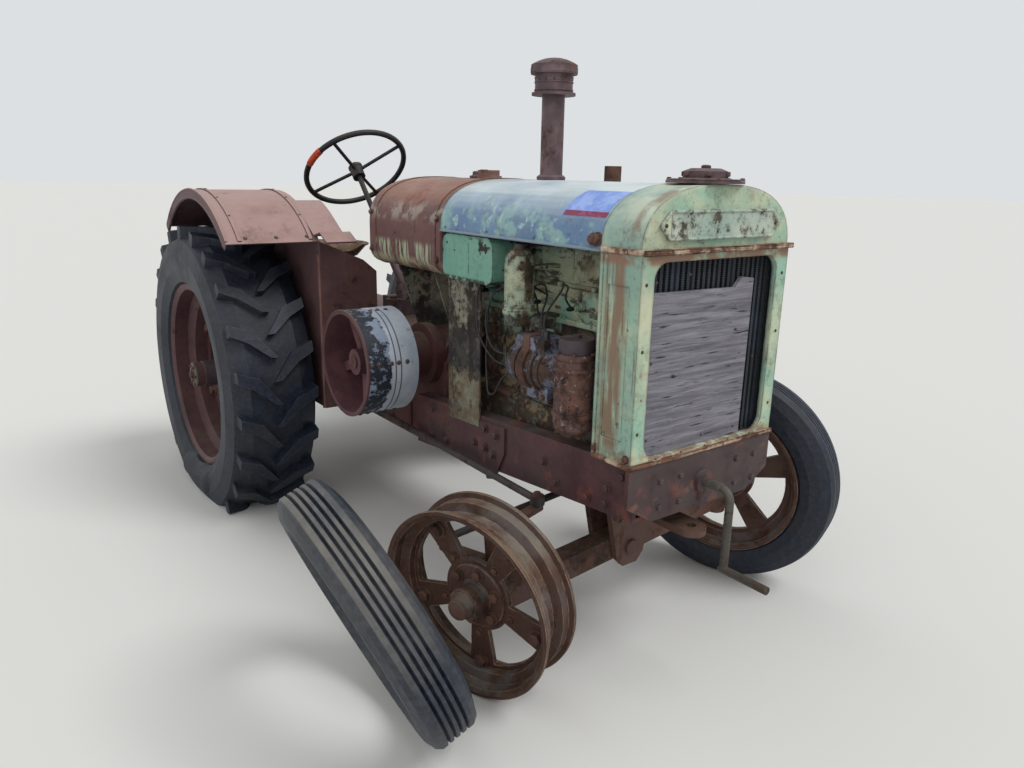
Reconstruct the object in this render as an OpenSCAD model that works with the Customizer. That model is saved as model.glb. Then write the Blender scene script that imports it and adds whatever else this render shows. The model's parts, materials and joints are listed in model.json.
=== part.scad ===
// Standard-tread farm tractor with a bare right front rim and its tyre leaning beside it.
// Forward is -Y, the tractor's left is +X and up is +Z. Sizes are in millimetres.

/* [Stance] */
// Distance from the front axle to the rear axle
wheelbase = 1933; // [1880:1:2000]
// Height of the rear axle above the ground
rear_axle_z = 542; // [530:1:560]
// Distance from the middle of the tractor to the middle of a rear wheel
rear_wheel_x = 648; // [640:1:680]
// Distance from the middle of the tractor to a kingpin
kingpin_x = 494; // [488:1:510]
// Distance from a kingpin to the middle of its wheel
spindle_reach = 86; // [84:1:96]
// Angle to which the front wheels are steered to the left
steer_rest = 17.5; // [10:0.5:20]

/* [Rear wheels] */
// Radius of a rear tyre over its lugs
rear_tyre_r = 665; // [640:1:670]
// Width of a rear tyre
rear_tyre_w = 372; // [350:1:380]
// Radius of the rear rim's flanges
rear_rim_r = 410; // [395:1:420]
// Width of the rear rim over its flanges
rear_rim_w = 300; // [280:1:320]
// Radius of the rear hub
rear_hub_r = 55; // [50:1:65]
// Distance from the middle of the tractor to the rear hub's outer end
rear_hub_end_x = 798; // [790:1:812]

/* [Front wheels] */
// Radius of the left front tyre
front_tyre_r = 399; // [390:1:405]
// Width of the left front tyre
front_tyre_w = 150; // [140:1:155]
// Radius of the front rims' flanges
front_rim_r = 286; // [280:1:290]
// Width of the front rims over their flanges
front_rim_w = 146; // [138:1:150]
// Radius of the front hubs
front_hub_r = 46; // [42:1:52]
// Radius of the front spindles
spindle_r = 22; // [18:1:26]
// Radius of the loose tyre
loose_tyre_r = 372; // [366:1:378]
// Width of the loose tyre's tread
loose_tyre_w = 118; // [110:1:124]
// Angle by which the loose tyre's top leans outward
loose_lean = 24.4; // [23:0.1:25]
// Distance from the middle of the tractor to the middle of the loose tyre
loose_x = 902; // [898:1:912]

/* [Front axle] */
// Height of the axle beam
beam_h = 76; // [70:1:80]
// Depth of the axle beam from front to back
beam_d = 70; // [60:1:76]
// Depth of the beam's middle below the spindles
beam_drop = 52; // [48:1:54]
// Radius of the kingpin bosses
boss_r = 34; // [32:1:36]
// Radius of the kingpins
kingpin_r = 14; // [12:1:16]
// Reach of the arms that carry the tie rod
tie_arm = 190; // [180:1:200]
// Radius of the tie rod and of the drag link
rod_r = 12; // [10:1:13]

/* [Frame] */
// Distance from the middle of the tractor to a rail's outer face
rail_x = 262; // [258:1:266]
// Thickness of the rails' web
rail_web = 12; // [8:1:14]
// Width of the rails' flanges
rail_flange = 56; // [48:1:57]
// Height of the rails' top edge at the rear end
rail_top_rear = 628; // [620:1:636]
// Height of the rails' top edge at the front end
rail_top_front = 701.7; // [690:0.1:701.7]
// Height of the rails' bottom edge at the rear end
rail_low_rear = 441; // [430:1:450]
// Height of the rails' bottom edge at the front end
rail_low_front = 540; // [530:1:550]
// Distance from the rear axle to the rails' rear ends
rail_rear = 1085; // [1060:1:1110]

/* [Gearbox] */
// Half the width of the gearbox
case_x = 186; // [170:1:195]
// Height of the gearbox's bottom
case_low = 372; // [360:1:385]
// Height of the gearbox's top
case_top = 842; // [830:1:850]
// Distance from the rear axle to the gearbox's back cover
case_back = 236; // [225:1:250]
// Radius of the differential's drum
diff_r = 190; // [180:1:196]
// Radius of the rear axle housings
housing_r = 88; // [80:1:94]
// Radius of the rear axle shafts
shaft_r = 36; // [32:1:40]
// Distance from the rear axle to the joint between clutch housing and engine
bell_front = 1306; // [1300:1:1312]

/* [Engine] */
// Half the width of the crankcase
crankcase_x = 150; // [140:1:156]
// Half the width of the cylinder block
block_x = 122; // [112:1:126]
// Height of the oil pan's bottom
pan_low = 470; // [450:1:480]
// Height of the joint between crankcase and cylinder block
block_low = 735; // [725:1:745]
// Height of the joint between cylinder block and head
head_low = 1010; // [1000:1:1020]
// Height of the head's top
head_top = 1112; // [1100:1:1120]
// Distance from the engine's front face to the radiator shell
fan_space = 49; // [45:1:60]

/* [Bonnet and radiator] */
// Half the width of the hood
hood_x = 293; // [288:1:296]
// Height of the hood's lower edges
hood_low = 1261; // [1255:1:1270]
// Height of the hood's crown
hood_top = 1434; // [1425:1:1445]
// Thickness of the hood's sheet
sheet = 4; // [3:0.5:5]
// Distance from the front axle to the radiator's front bezel
nose = 323; // [317:1:329]
// Depth of the radiator shell from front to back
shell_depth = 151; // [147:1:154]
// Height of the radiator shell's bottom
shell_low = 702; // [702:1:706]
// Half the width of the grille opening
grille_x = 250; // [240:1:255]
// Height of the grille opening's bottom
grille_low = 722; // [718:1:730]
// Height of the grille opening's top
grille_top = 1243; // [1230:1:1246]
// Distance from the rear axle to the fuel tank's rear end
tank_back = 779; // [770:1:800]
// Height of the fuel tank's bottom
tank_low = 1105; // [1095:1:1110]

/* [Stack and pulley] */
// Height of the air stack's top
stack_top = 1811; // [1780:1:1820]
// Radius of the air stack's pipe
stack_r = 37; // [34:1:40]
// Radius of the air stack's cap
stack_cap_r = 75; // [68:1:78]
// Distance from the rear axle to the air stack
stack_y = 1531; // [1520:1:1540]
// Radius of the belt pulley
pulley_r = 193; // [186:1:196]
// Width of the belt pulley's face
pulley_w = 199; // [190:1:204]
// Distance from the middle of the tractor to the belt pulley's outer face
pulley_x = 538; // [534:1:542]
// Distance from the rear axle to the belt pulley's shaft
pulley_y = 1040; // [1036:1:1050]
// Height of the belt pulley's shaft
pulley_z = 775; // [770:1:780]

/* [Steering] */
// Radius of the steering wheel
wheel_r = 252; // [240:1:256]
// Angle between the steering shaft and upright
wheel_tilt = 42; // [40:1:43]
// Height of the steering wheel's middle
wheel_z = 1462; // [1450:1:1470]
// Distance from the rear axle to the steering wheel's middle
wheel_y = 60; // [50:1:70]
// Length of the pitman arm
pitman_l = 230; // [226:1:234]

/* [Fenders and seat] */
// Radius of a fender's arch
fender_r = 620; // [618:1:626]
// Distance from the middle of the tractor to a fender's inner panel
fender_in = 430; // [424:1:431]
// Distance from the middle of the tractor to a fender's outer edge
fender_out = 800; // [790:1:806]
// Height of the fender panel's bottom edge
fender_low = 480; // [475:1:500]
// Height of the seat's rim
seat_z = 1085; // [1060:1:1100]
// Distance from the rear axle to the seat's middle
seat_y = 300; // [290:1:320]

/* [Crank and drawbar] */
// Height of the crank's shaft
crank_z = 612; // [606:1:616]
// Throw of the crank
crank_throw = 238; // [225:1:245]
// Radius of the hole for a pin in the drawbar
drawbar_hole_r = 14; // [12:1:16]
// Height of the drawbar's middle
drawbar_z = 326; // [320:1:330]
// Distance from the rear axle to the drawbar's hole
drawbar_y = 520; // [500:1:560]
// Radius of the hole in the front hitch
hitch_hole_r = 15; // [12:1:17]

/* [Hidden] */
$fn = 64;
seat_gap = 0.3;
run_gap = 0.3;
clear = 6;
dark_red = "#4a2b26";
rust = "#6b3e2e";
mint = "#8fae98";
blue_grey = "#7d8f9c";
rubber = "#23262b";
iron = "#3b3433";

shell_front = wheelbase + nose;
shell_back = shell_front - shell_depth;
engine_front = shell_back - fan_space;

// Front axle: its roll comes from the heights at which its two wheels stand.
axle_y = -wheelbase;
tyre_shoulder = 0.36 * front_tyre_w;
shoulder_r = front_tyre_r - 7;
reach_x = kingpin_x + spindle_reach * cos(steer_rest);
function axis_z(roll) = cos(steer_rest) * sin(roll);
function rim_height(roll) = front_rim_r * sqrt(1 - axis_z(roll) ^ 2) + front_rim_w / 2 * axis_z(roll);
function tyre_height(roll) = max(
    shoulder_r * sqrt(1 - axis_z(roll) ^ 2) + tyre_shoulder * axis_z(roll),
    front_tyre_r * sqrt(1 - axis_z(roll) ^ 2) + tyre_shoulder * 0.6 * axis_z(roll));
function next_roll(roll) = asin((tyre_height(roll) - rim_height(roll)) / 2 / reach_x);
axle_roll = next_roll(next_roll(next_roll(5)));
axle_z = (tyre_height(axle_roll) + rim_height(axle_roll)) / 2;
beam_top = -beam_drop + beam_h / 2;
beam_low = -beam_drop - beam_h / 2;
boss_top = 45;
pivot_r = 24;
boss_low = beam_low - 4;
lug_h = 24;
pin_play = 1;
arm_z = boss_top + pin_play + lug_h / 2;
arm_t = 16;
link_z = 152;
link_arm = [205, -20];
ball_pin_r = 10;
eye_r = 22;

// The part's own origin lies on the ground in the middle of its outline.
swell = 17;
outline_left = rear_wheel_x + rear_tyre_w / 2 + swell;
outline_right = loose_x + loose_tyre_r * sin(loose_lean) + loose_tyre_w / 2 * cos(loose_lean);
handle_end = shell_front + 251;
outline_front = handle_end;
outline_back = rear_tyre_r;
shift = [(outline_right - outline_left) / 2, (outline_front - outline_back) / 2, 0];

// Rails, seen from the side
rail_front = shell_front - 11;
function rail_top(y) = rail_top_rear
    + (rail_top_front - rail_top_rear) * (y - rail_rear) / (rail_front - rail_rear);
function rail_low(y) = rail_low_rear
    + (rail_low_front - rail_low_rear) * (y - rail_rear) / (rail_front - rail_rear);

// Back cover and axle housings of the gearbox
cover_low = rear_axle_z - 150;
cover_h = 320;
cover_x = 150;
housing_end = rear_wheel_x - 174;
flange_r = housing_r + 14;
pulley_shaft_r = 24;

// The saddle lies on the rails' lower flanges.
function saddle_low() = rail_low(wheelbase + 110) + rail_web;

// Steering shaft, from its gear box to the wheel's hub
shaft_dir = [0, sin(wheel_tilt), cos(wheel_tilt)];
wheel_at = [0, -wheel_y, wheel_z];
box_top = case_top + 96;
column_l = (wheel_z - box_top) / cos(wheel_tilt);
pitman_x = rail_x + 22;
pitman_y = 740;
pitman_z = link_world()[2] + pitman_l;
pitman_t = 18;
pitman_shaft_r = 18;

// Places a point given in the front axle's own frame.
function axle_point(p) = [
    p[0] * cos(axle_roll) - p[2] * sin(axle_roll),
    axle_y + p[1],
    axle_z + p[0] * sin(axle_roll) + p[2] * cos(axle_roll)];
function turned(p) = [
    p[0] * cos(steer_rest) - p[1] * sin(steer_rest),
    p[0] * sin(steer_rest) + p[1] * cos(steer_rest)];
function link_world() = axle_point(
    [-kingpin_x + turned(link_arm)[0], turned(link_arm)[1], link_z + arm_t / 2 + rod_r + 2]);

// The same arch bounds the hood, the tank and the radiator's top.
arch_power = 2.5;
arch_steps = 24;
function arch(w, low, top) = [for (i = [0 : arch_steps])
    let (a = 180 * i / arch_steps, c = cos(a), s = sin(a))
    [w * sign(c) * abs(c) ^ (2 / arch_power), low + (top - low) * abs(s) ^ (2 / arch_power)]];
function arc(at, r, from, to, steps) = [for (i = [0 : steps])
    let (a = from + (to - from) * i / steps) [at[0] + r * cos(a), at[1] + r * sin(a)]];

module in_place() { translate(shift) children(); }
module along_x(at) { translate(at) rotate([0, 90, 0]) children(); }
module along_y(at) { translate(at) rotate([90, 0, 0]) children(); }
module both_sides() {
    children();
    mirror([1, 0, 0]) children();
}
// Extrudes an outline drawn in X and Z from one distance ahead of the rear axle to another.
module lengthwise(from, to) { translate([0, -from, 0]) rotate([90, 0, 0]) linear_extrude(to - from) children(); }
// Extrudes an outline drawn in Y and Z from x to x + t.
module crosswise(x, t) { translate([x, 0, 0]) rotate([90, 0, 90]) linear_extrude(t) children(); }
// A bar with round ends between two points of the ground plane
module link_bar(from, to, w, t) {
    a = atan2(to[1] - from[1], to[0] - from[0]);
    translate([0, 0, -t / 2]) linear_extrude(t)
        polygon(concat(arc(to, w / 2, a - 90, a + 90, 12), arc(from, w / 2, a + 90, a + 270, 12)));
}
module at_axle() { translate([0, axle_y, axle_z]) rotate([0, -axle_roll, 0]) children(); }
// side is -1 for the right wheel and 1 for the left
module at_knuckle(side) { at_axle() translate([side * kingpin_x, 0, 0]) rotate([0, 0, steer_rest]) children(); }
module at_front_wheel(side) {
    at_knuckle(side) translate([side * spindle_reach, 0, 0]) rotate([0, side * 90, 0]) children();
}
module at_rear_wheel(side) { translate([side * rear_wheel_x, 0, rear_axle_z]) rotate([0, side * 90, 0]) children(); }
module rounded_rect(x, low, top, r) {
    polygon(concat(
        arc([x - r, top - r], r, 0, 90, 6), arc([-x + r, top - r], r, 90, 180, 6),
        arc([-x + r, low + r], r, 180, 270, 6), arc([x - r, low + r], r, 270, 360, 6)));
}
// Opening between two radii and two angles of a wheel's disc
module kidney(inner, outer, half_angle) {
    polygon(concat(
        arc([0, 0], outer, -half_angle, half_angle, 8),
        arc([0, 0], inner, half_angle * 0.8, -half_angle * 0.8, 8)));
}

// Castings of the drive line
module gearbox_case() {
    bell_r = 210;
    bell_z = 700;
    neck = bell_front - 150;
    shaft_end = rear_wheel_x - 96;
    flange_t = 24;
    drum_x = case_x + 26;
    cone_x = case_x + 20;
    color(dark_red) in_place() {
        along_y([0, -neck, bell_z]) cylinder(r1 = 190, r2 = bell_r, h = bell_front - neck - flange_t);
        along_y([0, -bell_front + flange_t, bell_z]) cylinder(r = bell_r, h = flange_t);
        lengthwise(-case_back + 30, neck) rounded_rect(case_x, case_low, case_top, 60);
        along_x([-drum_x, 0, rear_axle_z]) cylinder(r = diff_r, h = 2 * drum_x);
        translate([-cover_x, case_back - 60, cover_low]) cube([2 * cover_x, 60, cover_h]);
        both_sides() {
            along_x([cone_x, 0, rear_axle_z]) cylinder(r1 = 130, r2 = housing_r, h = 30);
            along_x([case_x, 0, rear_axle_z]) cylinder(r = housing_r, h = housing_end - case_x);
            along_x([housing_end - 26, 0, rear_axle_z]) cylinder(r = flange_r, h = 26);
            along_x([case_x, 0, rear_axle_z]) cylinder(r = shaft_r, h = shaft_end - case_x);
            translate([case_x - 20, -bell_front + 60, rail_low(rail_rear) + 28])
                cube([rail_x - rail_web - case_x + 20, 150, 130]);
        }
        along_x([-pulley_x + pulley_w - 6, -pulley_y, pulley_z])
            cylinder(r = 86, h = pulley_x - pulley_w - case_x + 16);
        along_x([-case_x - 34, -pulley_y, pulley_z]) cylinder(r = 118, h = 40);
        for (y = [1180, 900, 560]) translate([-case_x - 10, -y - 9, case_low + 70])
            cube([2 * case_x + 20, 18, case_top - case_low - 150]);
        along_x([-pulley_x + 34, -pulley_y, pulley_z]) cylinder(r = pulley_shaft_r, h = pulley_x - case_x);
        along_x([-pitman_x - pitman_t / 2 - 6, -pitman_y, pitman_z])
            cylinder(r = pitman_shaft_r, h = pitman_x - case_x + 20);
        along_x([-pitman_x + pitman_t / 2 + 6, -pitman_y, pitman_z])
            cylinder(r = 42, h = pitman_x - case_x - 10);
    }
}

// Channel irons, open toward the middle
module rail(side) {
    module side_view(inset) {
        polygon([
            [-rail_rear, rail_low(rail_rear) + inset], [-rail_rear, rail_top(rail_rear) - inset],
            [-rail_front, rail_top(rail_front) - inset], [-rail_front, rail_low(rail_front) + inset]]);
    }
    color(dark_red) in_place() mirror([side < 0 ? 1 : 0, 0, 0]) difference() {
        crosswise(rail_x - rail_flange, rail_flange) side_view(0);
        crosswise(rail_x - rail_flange - 1, rail_flange + 1 - rail_web)
            polygon([
                [-rail_rear + 1, rail_low(rail_rear) + rail_web],
                [-rail_rear + 1, rail_top(rail_rear) - rail_web],
                [-rail_front - 1, rail_top(rail_front) - rail_web],
                [-rail_front - 1, rail_low(rail_front) + rail_web]]);
    }
}
// Plate riveted to the outside of the right rail
plate_y = [1522, 1662];
plate_t = 8;
module right_frame_rail() {
    rail(-1);
    color(dark_red) in_place() crosswise(-rail_x - plate_t, plate_t + 1) polygon([
        [-plate_y[0], rail_top(plate_y[0]) - 16], [-plate_y[1], rail_top(plate_y[1]) - 16],
        [-plate_y[1], 560], [-plate_y[1] + 54, rail_low(plate_y[1]) - 34],
        [-plate_y[0] - 44, rail_low(plate_y[0]) - 34], [-plate_y[0], 520]]);
}
module left_frame_rail() { rail(1); }

// Plate across the rails' front ends, bellied below and bored for the crank
module front_bolster() {
    half = hood_x + 7;
    plate = 14;
    boss = 34;
    belly = rail_low_front - 4;
    color(dark_red) in_place() difference() {
        union() {
            lengthwise(rail_front, rail_front + plate) polygon([
                [-half, rail_top_front], [-half, belly + 58], [-half + 96, belly],
                [half - 96, belly], [half, belly + 58], [half, rail_top_front]]);
            along_y([0, -rail_front + 120, crank_z]) cylinder(r = boss, h = 120 + plate + 12);
            translate([-rail_x + rail_web, -rail_front + 60, rail_low_front + 24])
                cube([2 * (rail_x - rail_web), 60, 20]);
            translate([-12, -rail_front, rail_low_front + 24]) cube([24, 120, 30]);
        }
        along_y([0, -rail_front + 130, crank_z]) cylinder(r = 14 + run_gap, h = 160 + plate);
    }
}

// Saddle between the rails with two cheeks, the axle's pivot pin and the tow hitch
module axle_bracket() {
    cheek_t = 22;
    cheek_y = beam_d / 2 + clear;
    pivot_low = axle_z - beam_drop - 62;
    hitch_z = saddle_low() - 84;
    hitch_tip = rail_front + 32;
    color(dark_red) in_place() difference() {
        union() {
            translate([-rail_x + rail_web + seat_gap, axle_y - 110, saddle_low() + 8])
                cube([2 * (rail_x - rail_web - seat_gap), 220, 24]);
            for (s = [-1, 1])
                translate([0, axle_y + s * (cheek_y + cheek_t / 2) - cheek_t / 2, 0])
                    rotate([90, 0, 0]) translate([0, 0, -cheek_t]) linear_extrude(cheek_t)
                        polygon([
                            [-120, saddle_low() + 8], [-58, pivot_low + 30], [-30, pivot_low],
                            [30, pivot_low], [58, pivot_low + 30], [120, saddle_low() + 8]]);
            along_y([0, axle_y + cheek_y + cheek_t + 10, axle_z - beam_drop])
                cylinder(r = pivot_r, h = 2 * (cheek_y + cheek_t + 10));
            translate([-44, -hitch_tip + 40, hitch_z - 11])
                cube([88, hitch_tip - 40 - wheelbase - cheek_y - cheek_t + 4, 22]);
            translate([0, -hitch_tip + 44, hitch_z - 11]) cylinder(r = 44, h = 22);
        }
        translate([0, -hitch_tip + 44, hitch_z - 12]) cylinder(r = hitch_hole_r, h = 24);
    }
}

// Beam between two kingpin bosses
module front_axle() {
    beam_x = kingpin_x - 12;
    color(dark_red) in_place() at_axle() difference() {
        union() {
            translate([-beam_x, -beam_d / 2, beam_low]) cube([2 * beam_x, beam_d, beam_h]);
            for (s = [-1, 1]) translate([s * kingpin_x, 0, boss_low]) cylinder(r = boss_r, h = boss_top - boss_low);
        }
        for (s = [-1, 1]) translate([s * kingpin_x, 0, boss_low - 1])
            cylinder(r = kingpin_r + run_gap, h = boss_top - boss_low + 2);
        rotate([0, axle_roll, 0]) along_y([0, beam_d, -beam_drop])
            cylinder(r = pivot_r + run_gap, h = 2 * beam_d);
    }
}

// Fork, kingpin, spindle and steering arms
module knuckle(side) {
    post = boss_r + clear;
    post_t = 20;
    low = boss_low - pin_play - lug_h;
    high = boss_top + pin_play + lug_h;
    color(dark_red) in_place() at_knuckle(side) {
        for (z = [low, high - lug_h]) {
            translate([0, 0, z]) cylinder(r = boss_r - 2, h = lug_h);
            translate([side > 0 ? 0 : -post - post_t, -26, z]) cube([post + post_t, 52, lug_h]);
        }
        translate([side > 0 ? post : -post - post_t, -26, low]) cube([post_t, 52, high - low]);
        translate([0, 0, low]) cylinder(r = kingpin_r, h = high - low);
        translate([side * (post + post_t - 4), 0, 0]) rotate([0, side * 90, 0]) {
            cylinder(r = spindle_r + 8, h = 6);
            cylinder(r = spindle_r, h = spindle_reach + 40 - post - post_t + 4);
        }
        translate([0, 0, arm_z]) link_bar([0, 0], [0, tie_arm], 34, arm_t);
        translate([0, tie_arm, arm_z]) cylinder(r = ball_pin_r, h = arm_t / 2 + 2 * rod_r + 10);
        if (side < 0) {
            translate([0, 0, high - 4]) cylinder(r = 24, h = link_z + arm_t / 2 - high + 10);
            translate([0, 0, link_z]) link_bar([0, 0], link_arm, 34, arm_t);
            translate([link_arm[0], link_arm[1], link_z]) cylinder(r = ball_pin_r, h = arm_t / 2 + 2 * rod_r + 10);
        }
    }
}
module right_knuckle() { knuckle(-1); }
module left_knuckle() { knuckle(1); }

// A rod with an eye, at rest across the steered arms' ends
module eye() {
    difference() {
        translate([0, 0, -rod_r - 2]) cylinder(r = eye_r, h = 2 * rod_r + 4);
        translate([0, 0, -rod_r - 3]) cylinder(r = ball_pin_r + run_gap, h = 2 * rod_r + 6);
    }
}
rod_z = arm_z + arm_t / 2 + rod_r + 3;
module tie_rod() {
    end = turned([0, tie_arm]);
    color(iron) in_place() at_axle() translate([end[0], end[1], rod_z]) {
        for (s = [-1, 1]) translate([s * kingpin_x, 0, 0]) eye();
        along_x([-kingpin_x + eye_r - 4, 0, 0]) cylinder(r = rod_r, h = 2 * (kingpin_x - eye_r + 4));
    }
}

// The drag link ends a little ahead of the pitman arm's ball.
drag_gap = 12;
pitman_ball_r = 17;
module drag_link() {
    front = [-kingpin_x + turned(link_arm)[0], turned(link_arm)[1], link_z + arm_t / 2 + rod_r + 3];
    at = axle_point(front);
    back_y = -pitman_y - pitman_ball_r - drag_gap;
    tail = [-pitman_x, back_y, pitman_z - pitman_l];
    run = tail - at;
    color(iron) in_place() {
        translate(at) rotate([0, -axle_roll, 0]) eye();
        translate(at) rotate([0, 0, atan2(-run[0], run[1])]) rotate([-90 + atan2(run[2], norm([run[0], run[1]])), 0, 0])
            translate([0, 0, eye_r - 4]) {
                cylinder(r = rod_r, h = norm(run) - eye_r + 4 - 40);
                translate([0, 0, norm(run) - eye_r + 4 - 60]) cylinder(r = rod_r + 6, h = 60);
            }
    }
}

module pitman_arm() {
    color(dark_red) in_place() difference() {
        union() {
            along_x([-pitman_x - pitman_t / 2, -pitman_y, pitman_z]) cylinder(r = 36, h = pitman_t);
            translate([-pitman_x - pitman_t / 2, -pitman_y - 17, pitman_z - pitman_l])
                cube([pitman_t, 34, pitman_l]);
            translate([-pitman_x, -pitman_y, pitman_z - pitman_l]) sphere(r = pitman_ball_r);
        }
        along_x([-pitman_x - pitman_t, -pitman_y, pitman_z])
            cylinder(r = pitman_shaft_r + run_gap, h = 2 * pitman_t);
    }
}

// Drop-centre rim: flanges, bead seats that end at flat_w from the edges, and a well well_d deep
module rim_shell(r, half, seat, wall, flat_w, slope, well_d, edge) {
    lap = slope * wall / well_d + 1;
    rotate_extrude($fn = 96) polygon(concat(
        [for (s = [1, -1]) each let (side = [
            [r, half], [r, half - edge], [seat + wall, half - edge - 4],
            [seat + wall, half - flat_w], [seat + wall - well_d, half - flat_w - slope]])
            [for (i = [0 : 4]) let (p = side[s > 0 ? i : 4 - i]) [p[0], s * p[1]]]],
        [for (s = [-1, 1]) each let (side = [
            [r - edge, half], [seat, half - edge + 2], [seat, half - flat_w + lap],
            [seat - well_d, half - flat_w - slope + lap]])
            [for (i = [0 : 3]) let (p = side[s < 0 ? i : 3 - i]) [p[0], s * p[1]]]]));
}

// Drop-centre rim and disc of a front wheel, turned about the spindle
module front_rim() {
    half = front_rim_w / 2;
    seat = front_rim_r - 22;
    wall = 6;
    disc = 14;
    holes = 5;
    difference() {
        union() {
            rim_shell(front_rim_r, half, seat, wall, 42, 12, 24, 10);
            translate([0, 0, -disc]) cylinder(r = seat - 20, h = disc);
            translate([0, 0, 70 - spindle_reach]) cylinder(r = front_hub_r, h = spindle_reach - 70 + 62);
            translate([0, 0, 62]) cylinder(r1 = front_hub_r - 6, r2 = 30, h = 26);
            translate([0, 0, -disc - 4]) cylinder(r = 96, h = disc + 12);
        }
        for (i = [0 : holes - 1]) rotate(i * 360 / holes) translate([0, 0, -disc - 1])
            linear_extrude(disc + 2) kidney(112, seat - 38, 25);
        translate([0, 0, -spindle_reach]) cylinder(r = spindle_r + run_gap, h = spindle_reach + 42);
    }
}
module right_front_rim() { color(rust) in_place() at_front_wheel(-1) front_rim(); }
module left_front_rim() { color(rust) in_place() at_front_wheel(1) front_rim(); }

// A tread's grooves, radius against width, spread from -half to half
function grooves(r, half, count, depth) = [for (i = [1 : count])
    let (v = -half + 2 * half * i / (count + 1)) each [[r, v - depth / 2], [r - depth, v], [r, v + depth / 2]]];

module left_front_tyre() {
    w = front_tyre_w / 2;
    seat = front_rim_r - 16 + seat_gap;
    color(rubber) in_place() at_front_wheel(1) rotate_extrude($fn = 96) polygon(concat(
        [[seat, -front_rim_w / 2 + 15 ], [front_rim_r + seat_gap, -front_rim_w / 2 + 11]],
        [[front_rim_r + 8, -w + 6], [front_rim_r + 40, -w], [shoulder_r - 30, -w + 6],
            [shoulder_r, -tyre_shoulder], [front_tyre_r, -tyre_shoulder * 0.6]],
        grooves(front_tyre_r, tyre_shoulder * 0.6, 3, 9),
        [[front_tyre_r, tyre_shoulder * 0.6], [shoulder_r, tyre_shoulder], [shoulder_r - 30, w - 6],
            [front_rim_r + 40, w], [front_rim_r + 8, w - 6]],
        [[front_rim_r + seat_gap, front_rim_w / 2 - 11], [seat, front_rim_w / 2 - 15]]));
}

// Empty carcass that has come off the right rim
loose_y = axle_y - 36;
loose_bead = 266;
loose_edge = 10;
loose_yaw = 5;
loose_z = loose_tyre_r * cos(loose_lean) + (loose_tyre_w / 2 - 14) * sin(loose_lean) + 1;
module loose_tyre() {
    w = loose_tyre_w / 2;
    side = w + 12;
    wall = 12;
    r = loose_tyre_r;
    color(rubber) in_place() translate([-loose_x, loose_y, loose_z]) rotate([0, 90 - loose_lean, -loose_yaw])
        rotate_extrude($fn = 96) polygon([
            [loose_bead, -w + 12], [loose_bead + 30, -side], [r - 40, -side], [r - loose_edge, -w], [r, -w + 14],
            each grooves(r, w - 14, 4, 10),
            [r, w - 14], [r - loose_edge, w], [r - 40, side], [loose_bead + 30, side], [loose_bead, w - 12],
            [loose_bead, w - 26], [loose_bead + 26, side - wall], [r - 42, side - wall], [r - 18, w - 14],
            [r - 18, 14 - w], [r - 42, wall - side], [loose_bead + 26, wall - side], [loose_bead, 26 - w]]);
}

// Rear rim, disc and long hub, turned about the axle shaft
module rear_rim() {
    half = rear_rim_w / 2;
    seat = rear_rim_r - 26;
    wall = 8;
    disc = 16;
    holes = 6;
    hub_in = -160;
    hub_out = rear_hub_end_x - rear_wheel_x;
    difference() {
        union() {
            rim_shell(rear_rim_r, half, seat, wall, 78, 22, 42, 12);
            translate([0, 0, -20]) cylinder(r = seat - 38, h = disc);
            translate([0, 0, hub_in]) cylinder(r = rear_hub_r + 8, h = -hub_in);
            cylinder(r = rear_hub_r, h = hub_out);
            translate([0, 0, -32]) cylinder(r = 120, h = 44);
        }
        for (i = [0 : holes - 1]) rotate(i * 360 / holes + 30) translate([0, 0, -21])
            linear_extrude(disc + 2) kidney(180, seat - 80, 16);
        translate([0, 0, hub_in - 1]) cylinder(r = shaft_r + run_gap, h = 70);
    }
}
module right_rear_rim() { color(rust) in_place() at_rear_wheel(-1) rear_rim(); }
module left_rear_rim() { color(rust) in_place() at_rear_wheel(1) rear_rim(); }

// Nearly flat tyre: cut by the ground and swollen where it meets it
lug_count = 22;
lug_depth = 34;
carcass_r = rear_tyre_r - lug_depth;
// One lug in plan, across the tyre against round it: from the tread's middle out to the shoulder
lug_plan = [[-12, -74], [16, -72], [92, -6], [160, 30], [160, 74], [72, 38]];
lug_half = 74;
// The lugs' corners reach the tyre's full radius, and one of them is the rearmost point
lug_top = sqrt(pow(rear_tyre_r, 2) - pow(lug_half, 2));
lug_phase = asin(lug_half / rear_tyre_r) - 90 / lug_count;
module rear_carcass() {
    w = rear_tyre_w / 2;
    seat = rear_rim_r - 18 + seat_gap;
    r = carcass_r;
    rotate_extrude($fn = 96) polygon([
        [seat, -rear_rim_w / 2 + 19], [rear_rim_r + seat_gap, -rear_rim_w / 2 + 13],
        [rear_rim_r + 10, -w + 24], [rear_rim_r + 60, -w + 4], [rear_rim_r + 130, -w],
        [r - 30, -w + 16], [r, -w + 82], [r, w - 82], [r - 30, w - 16],
        [rear_rim_r + 130, w], [rear_rim_r + 60, w - 4], [rear_rim_r + 10, w - 24],
        [rear_rim_r + seat_gap, rear_rim_w / 2 - 13], [seat, rear_rim_w / 2 - 19]]);
}
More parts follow.
